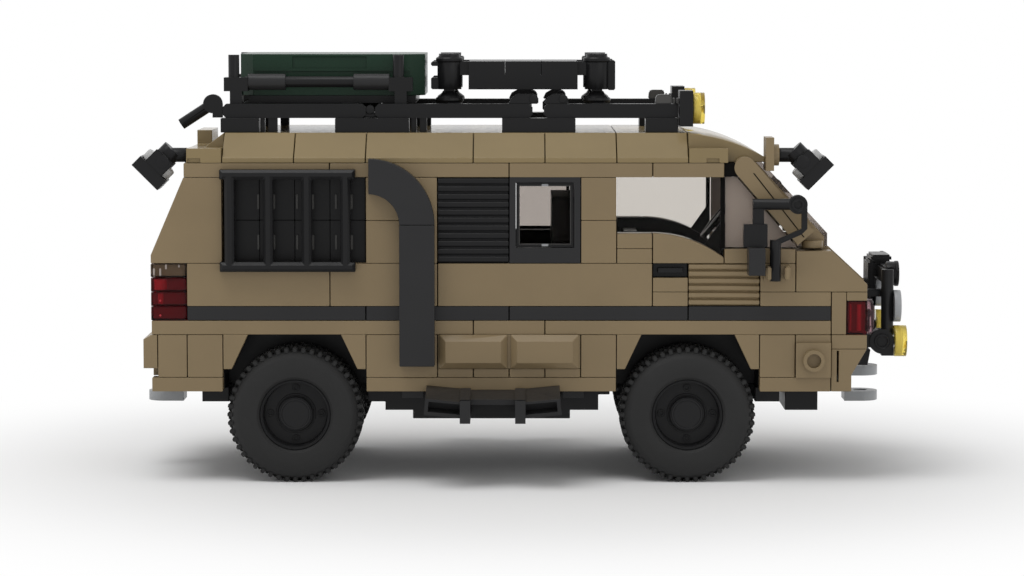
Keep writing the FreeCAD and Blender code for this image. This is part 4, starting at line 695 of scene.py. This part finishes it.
def lamp_bar():
    """The bar across the front: a slim beam with its stays, a spot at each end and a mount in the middle."""
    shape = Shape("front_lamp_bar", BLACK)
    beam_half, mount_y, core_y = 18.4, (-5.5, 5.5), (-4.6, 4.6)
    spot_y, spot_z = 15.4, 45.8
    shape.box((82.0, 84.3), (-beam_half, beam_half), (43.4, 47.4), edge=0.5)
    for side in SIDES:
        stay_y = across(side, 13.6, 16.8)
        shape.box((77.0, 83.8), stay_y, (40.6, 42.2), edge=0.2)
        shape.box((82.2, 84.1), stay_y, (41.8, 43.8), edge=0.2)
        shape.rod((82.8, side * spot_y, spot_z), 2.9, 2.75, "X", edge=0.45, segments=48)
        shape.ring((84.8, side * spot_y, spot_z), 0.9, 2.9, 2.3, "X", edge=0.12, segments=48)
        shape.rod((83.8, side * 17.6, 46.0), side * 0.8, 1.5, "Y", edge=0.2)
    shape.box((80.6, 85.3), mount_y, (47.7, 49.3), edge=0.45)
    shape.box((79.9, 81.5), mount_y, (39.6, 47.9), edge=0.45)
    shape.box((81.2, 84.9), core_y, (44.2, 47.9), edge=0.3)
    shape.rod((84.9, 0, 46.0), 0.6, 1.6, "X", edge=0.2)
    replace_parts(shape.finish(), "bull_bar_beam")


def mirror_clips():
    """The two jaws of the clip that grips each door mirror's upright."""
    shape = Shape("mirror_clips", TAN)
    for side in SIDES:
        for x in ((54.1, 55.5), (58.2, 59.6)):
            shape.box(x, across(side, 34.3, 36.8), (45.9, 49.0), edge=0.3)
    shape.finish()


def bumper_joint():
    """The dark joint behind the rear bumper."""
    shape = Shape("bumper_joint", MATT_SHADE_BLACK)
    joint_half = 31.2
    shape.box((-81.0, -79.2), (-joint_half, joint_half), (26.4, 29.4), edge=0.1)
    shape.finish()


bar_rings()
lamp_bar()
mirror_clips()
bumper_joint()


# Camera: a little above the rack, looking slightly down at the right side; millimetres and degrees

camera_place = (-1.42, -790.7, 108.1)
looks_down, looks_left = 4.84, 0.0675
camera_data = bpy.data.cameras.new("camera")
camera_data.lens = 119.9
camera_data.sensor_width = 36.0
camera_data.clip_start = 0.01
camera_data.clip_end = 20.0
camera = bpy.data.objects.new("camera", camera_data)
camera.location = Vector(camera_place) * MM
camera.rotation_euler = (math.radians(90 - looks_down), 0, math.radians(looks_left))
bpy.context.scene.collection.objects.link(camera)
bpy.context.scene.camera = camera


# Light: a white surround and two lamps

def larger(tree, first, second):
    """A node that gives the larger of two values."""
    node = tree.nodes.new("ShaderNodeMath")
    node.operation = "MAXIMUM"
    tree.links.new(first, node.inputs[0])
    tree.links.new(second, node.inputs[1])
    return node.outputs[0]


def surround(lit, shown):
    """A white world: one strength where it only lights, another where it is seen, in glass and gloss too."""
    world = bpy.data.worlds.new("studio")
    bpy.context.scene.world = world
    world.use_nodes = True
    tree = world.node_tree
    backdrop = tree.nodes["Background"]
    backdrop.inputs["Color"].default_value = (1, 1, 1, 1)
    rays = tree.nodes.new("ShaderNodeLightPath").outputs
    seen = larger(tree, rays["Is Camera Ray"], rays["Is Transmission Ray"])
    seen = larger(tree, seen, rays["Is Glossy Ray"])
    level = tree.nodes.new("ShaderNodeMapRange")
    level.inputs["To Min"].default_value = lit
    level.inputs["To Max"].default_value = shown
    tree.links.new(seen, level.inputs["Value"])
    tree.links.new(level.outputs["Result"], backdrop.inputs["Strength"])


def area_light(name, location, aim, size, power):
    """A round lamp at a place, turned to a point; places and size in metres, power in watts."""
    data = bpy.data.lights.new(name, "AREA")
    data.shape = "DISK"
    data.size = size
    data.energy = power
    lamp = bpy.data.objects.new(name, data)
    lamp.location = location
    lamp.rotation_euler = (Vector(aim) - Vector(location)).to_track_quat("-Z", "Y").to_euler()
    bpy.context.scene.collection.objects.link(lamp)


surround(lit=0.5, shown=1.0)
area_light("key", location=(-0.25, -0.25, 0.95), aim=(0, 0, 0.04), size=0.7, power=4.2)
area_light("fill", location=(0.5, -0.9, 0.5), aim=(0, 0, 0.05), size=0.8, power=1.0)


# Floor: pale paper that takes the shadow and fades to white around the toy; metres

def floor_paper(grey, fade_start, fade_end):
    """Matt paper near the middle that turns into pure white between two distances from it."""
    material, tree, shader = new_material("floor_paper")
    shader.inputs["Base Color"].default_value = (grey, grey, grey, 1)
    shader.inputs["Roughness"].default_value = 0.9
    place = tree.nodes.new("ShaderNodeTexCoord")
    spread = tree.nodes.new("ShaderNodeVectorMath")
    spread.operation = "LENGTH"
    tree.links.new(place.outputs["Object"], spread.inputs[0])
    fade = tree.nodes.new("ShaderNodeMapRange")
    fade.interpolation_type = "SMOOTHERSTEP"
    fade.inputs["From Min"].default_value = fade_start
    fade.inputs["From Max"].default_value = fade_end
    tree.links.new(spread.outputs["Value"], fade.inputs["Value"])
    white = tree.nodes.new("ShaderNodeEmission")
    mix = tree.nodes.new("ShaderNodeMixShader")
    output = tree.nodes["Material Output"]
    tree.links.new(fade.outputs["Result"], mix.inputs["Fac"])
    tree.links.new(shader.outputs["BSDF"], mix.inputs[1])
    tree.links.new(white.outputs["Emission"], mix.inputs[2])
    tree.links.new(mix.outputs["Shader"], output.inputs["Surface"])
    return material


reach = 6.0
floor_corners = [(-reach, -reach, 0), (reach, -reach, 0), (reach, reach, 0), (-reach, reach, 0)]
floor_mesh = bpy.data.meshes.new("floor")
floor_mesh.from_pydata(floor_corners, [], [(0, 1, 2, 3)])
floor_piece = bpy.data.objects.new("floor", floor_mesh)
bpy.context.scene.collection.objects.link(floor_piece)
floor_mesh.materials.append(floor_paper(grey=0.93, fade_start=0.07, fade_end=0.19))

scene = bpy.context.scene
scene.view_settings.view_transform = "Standard"
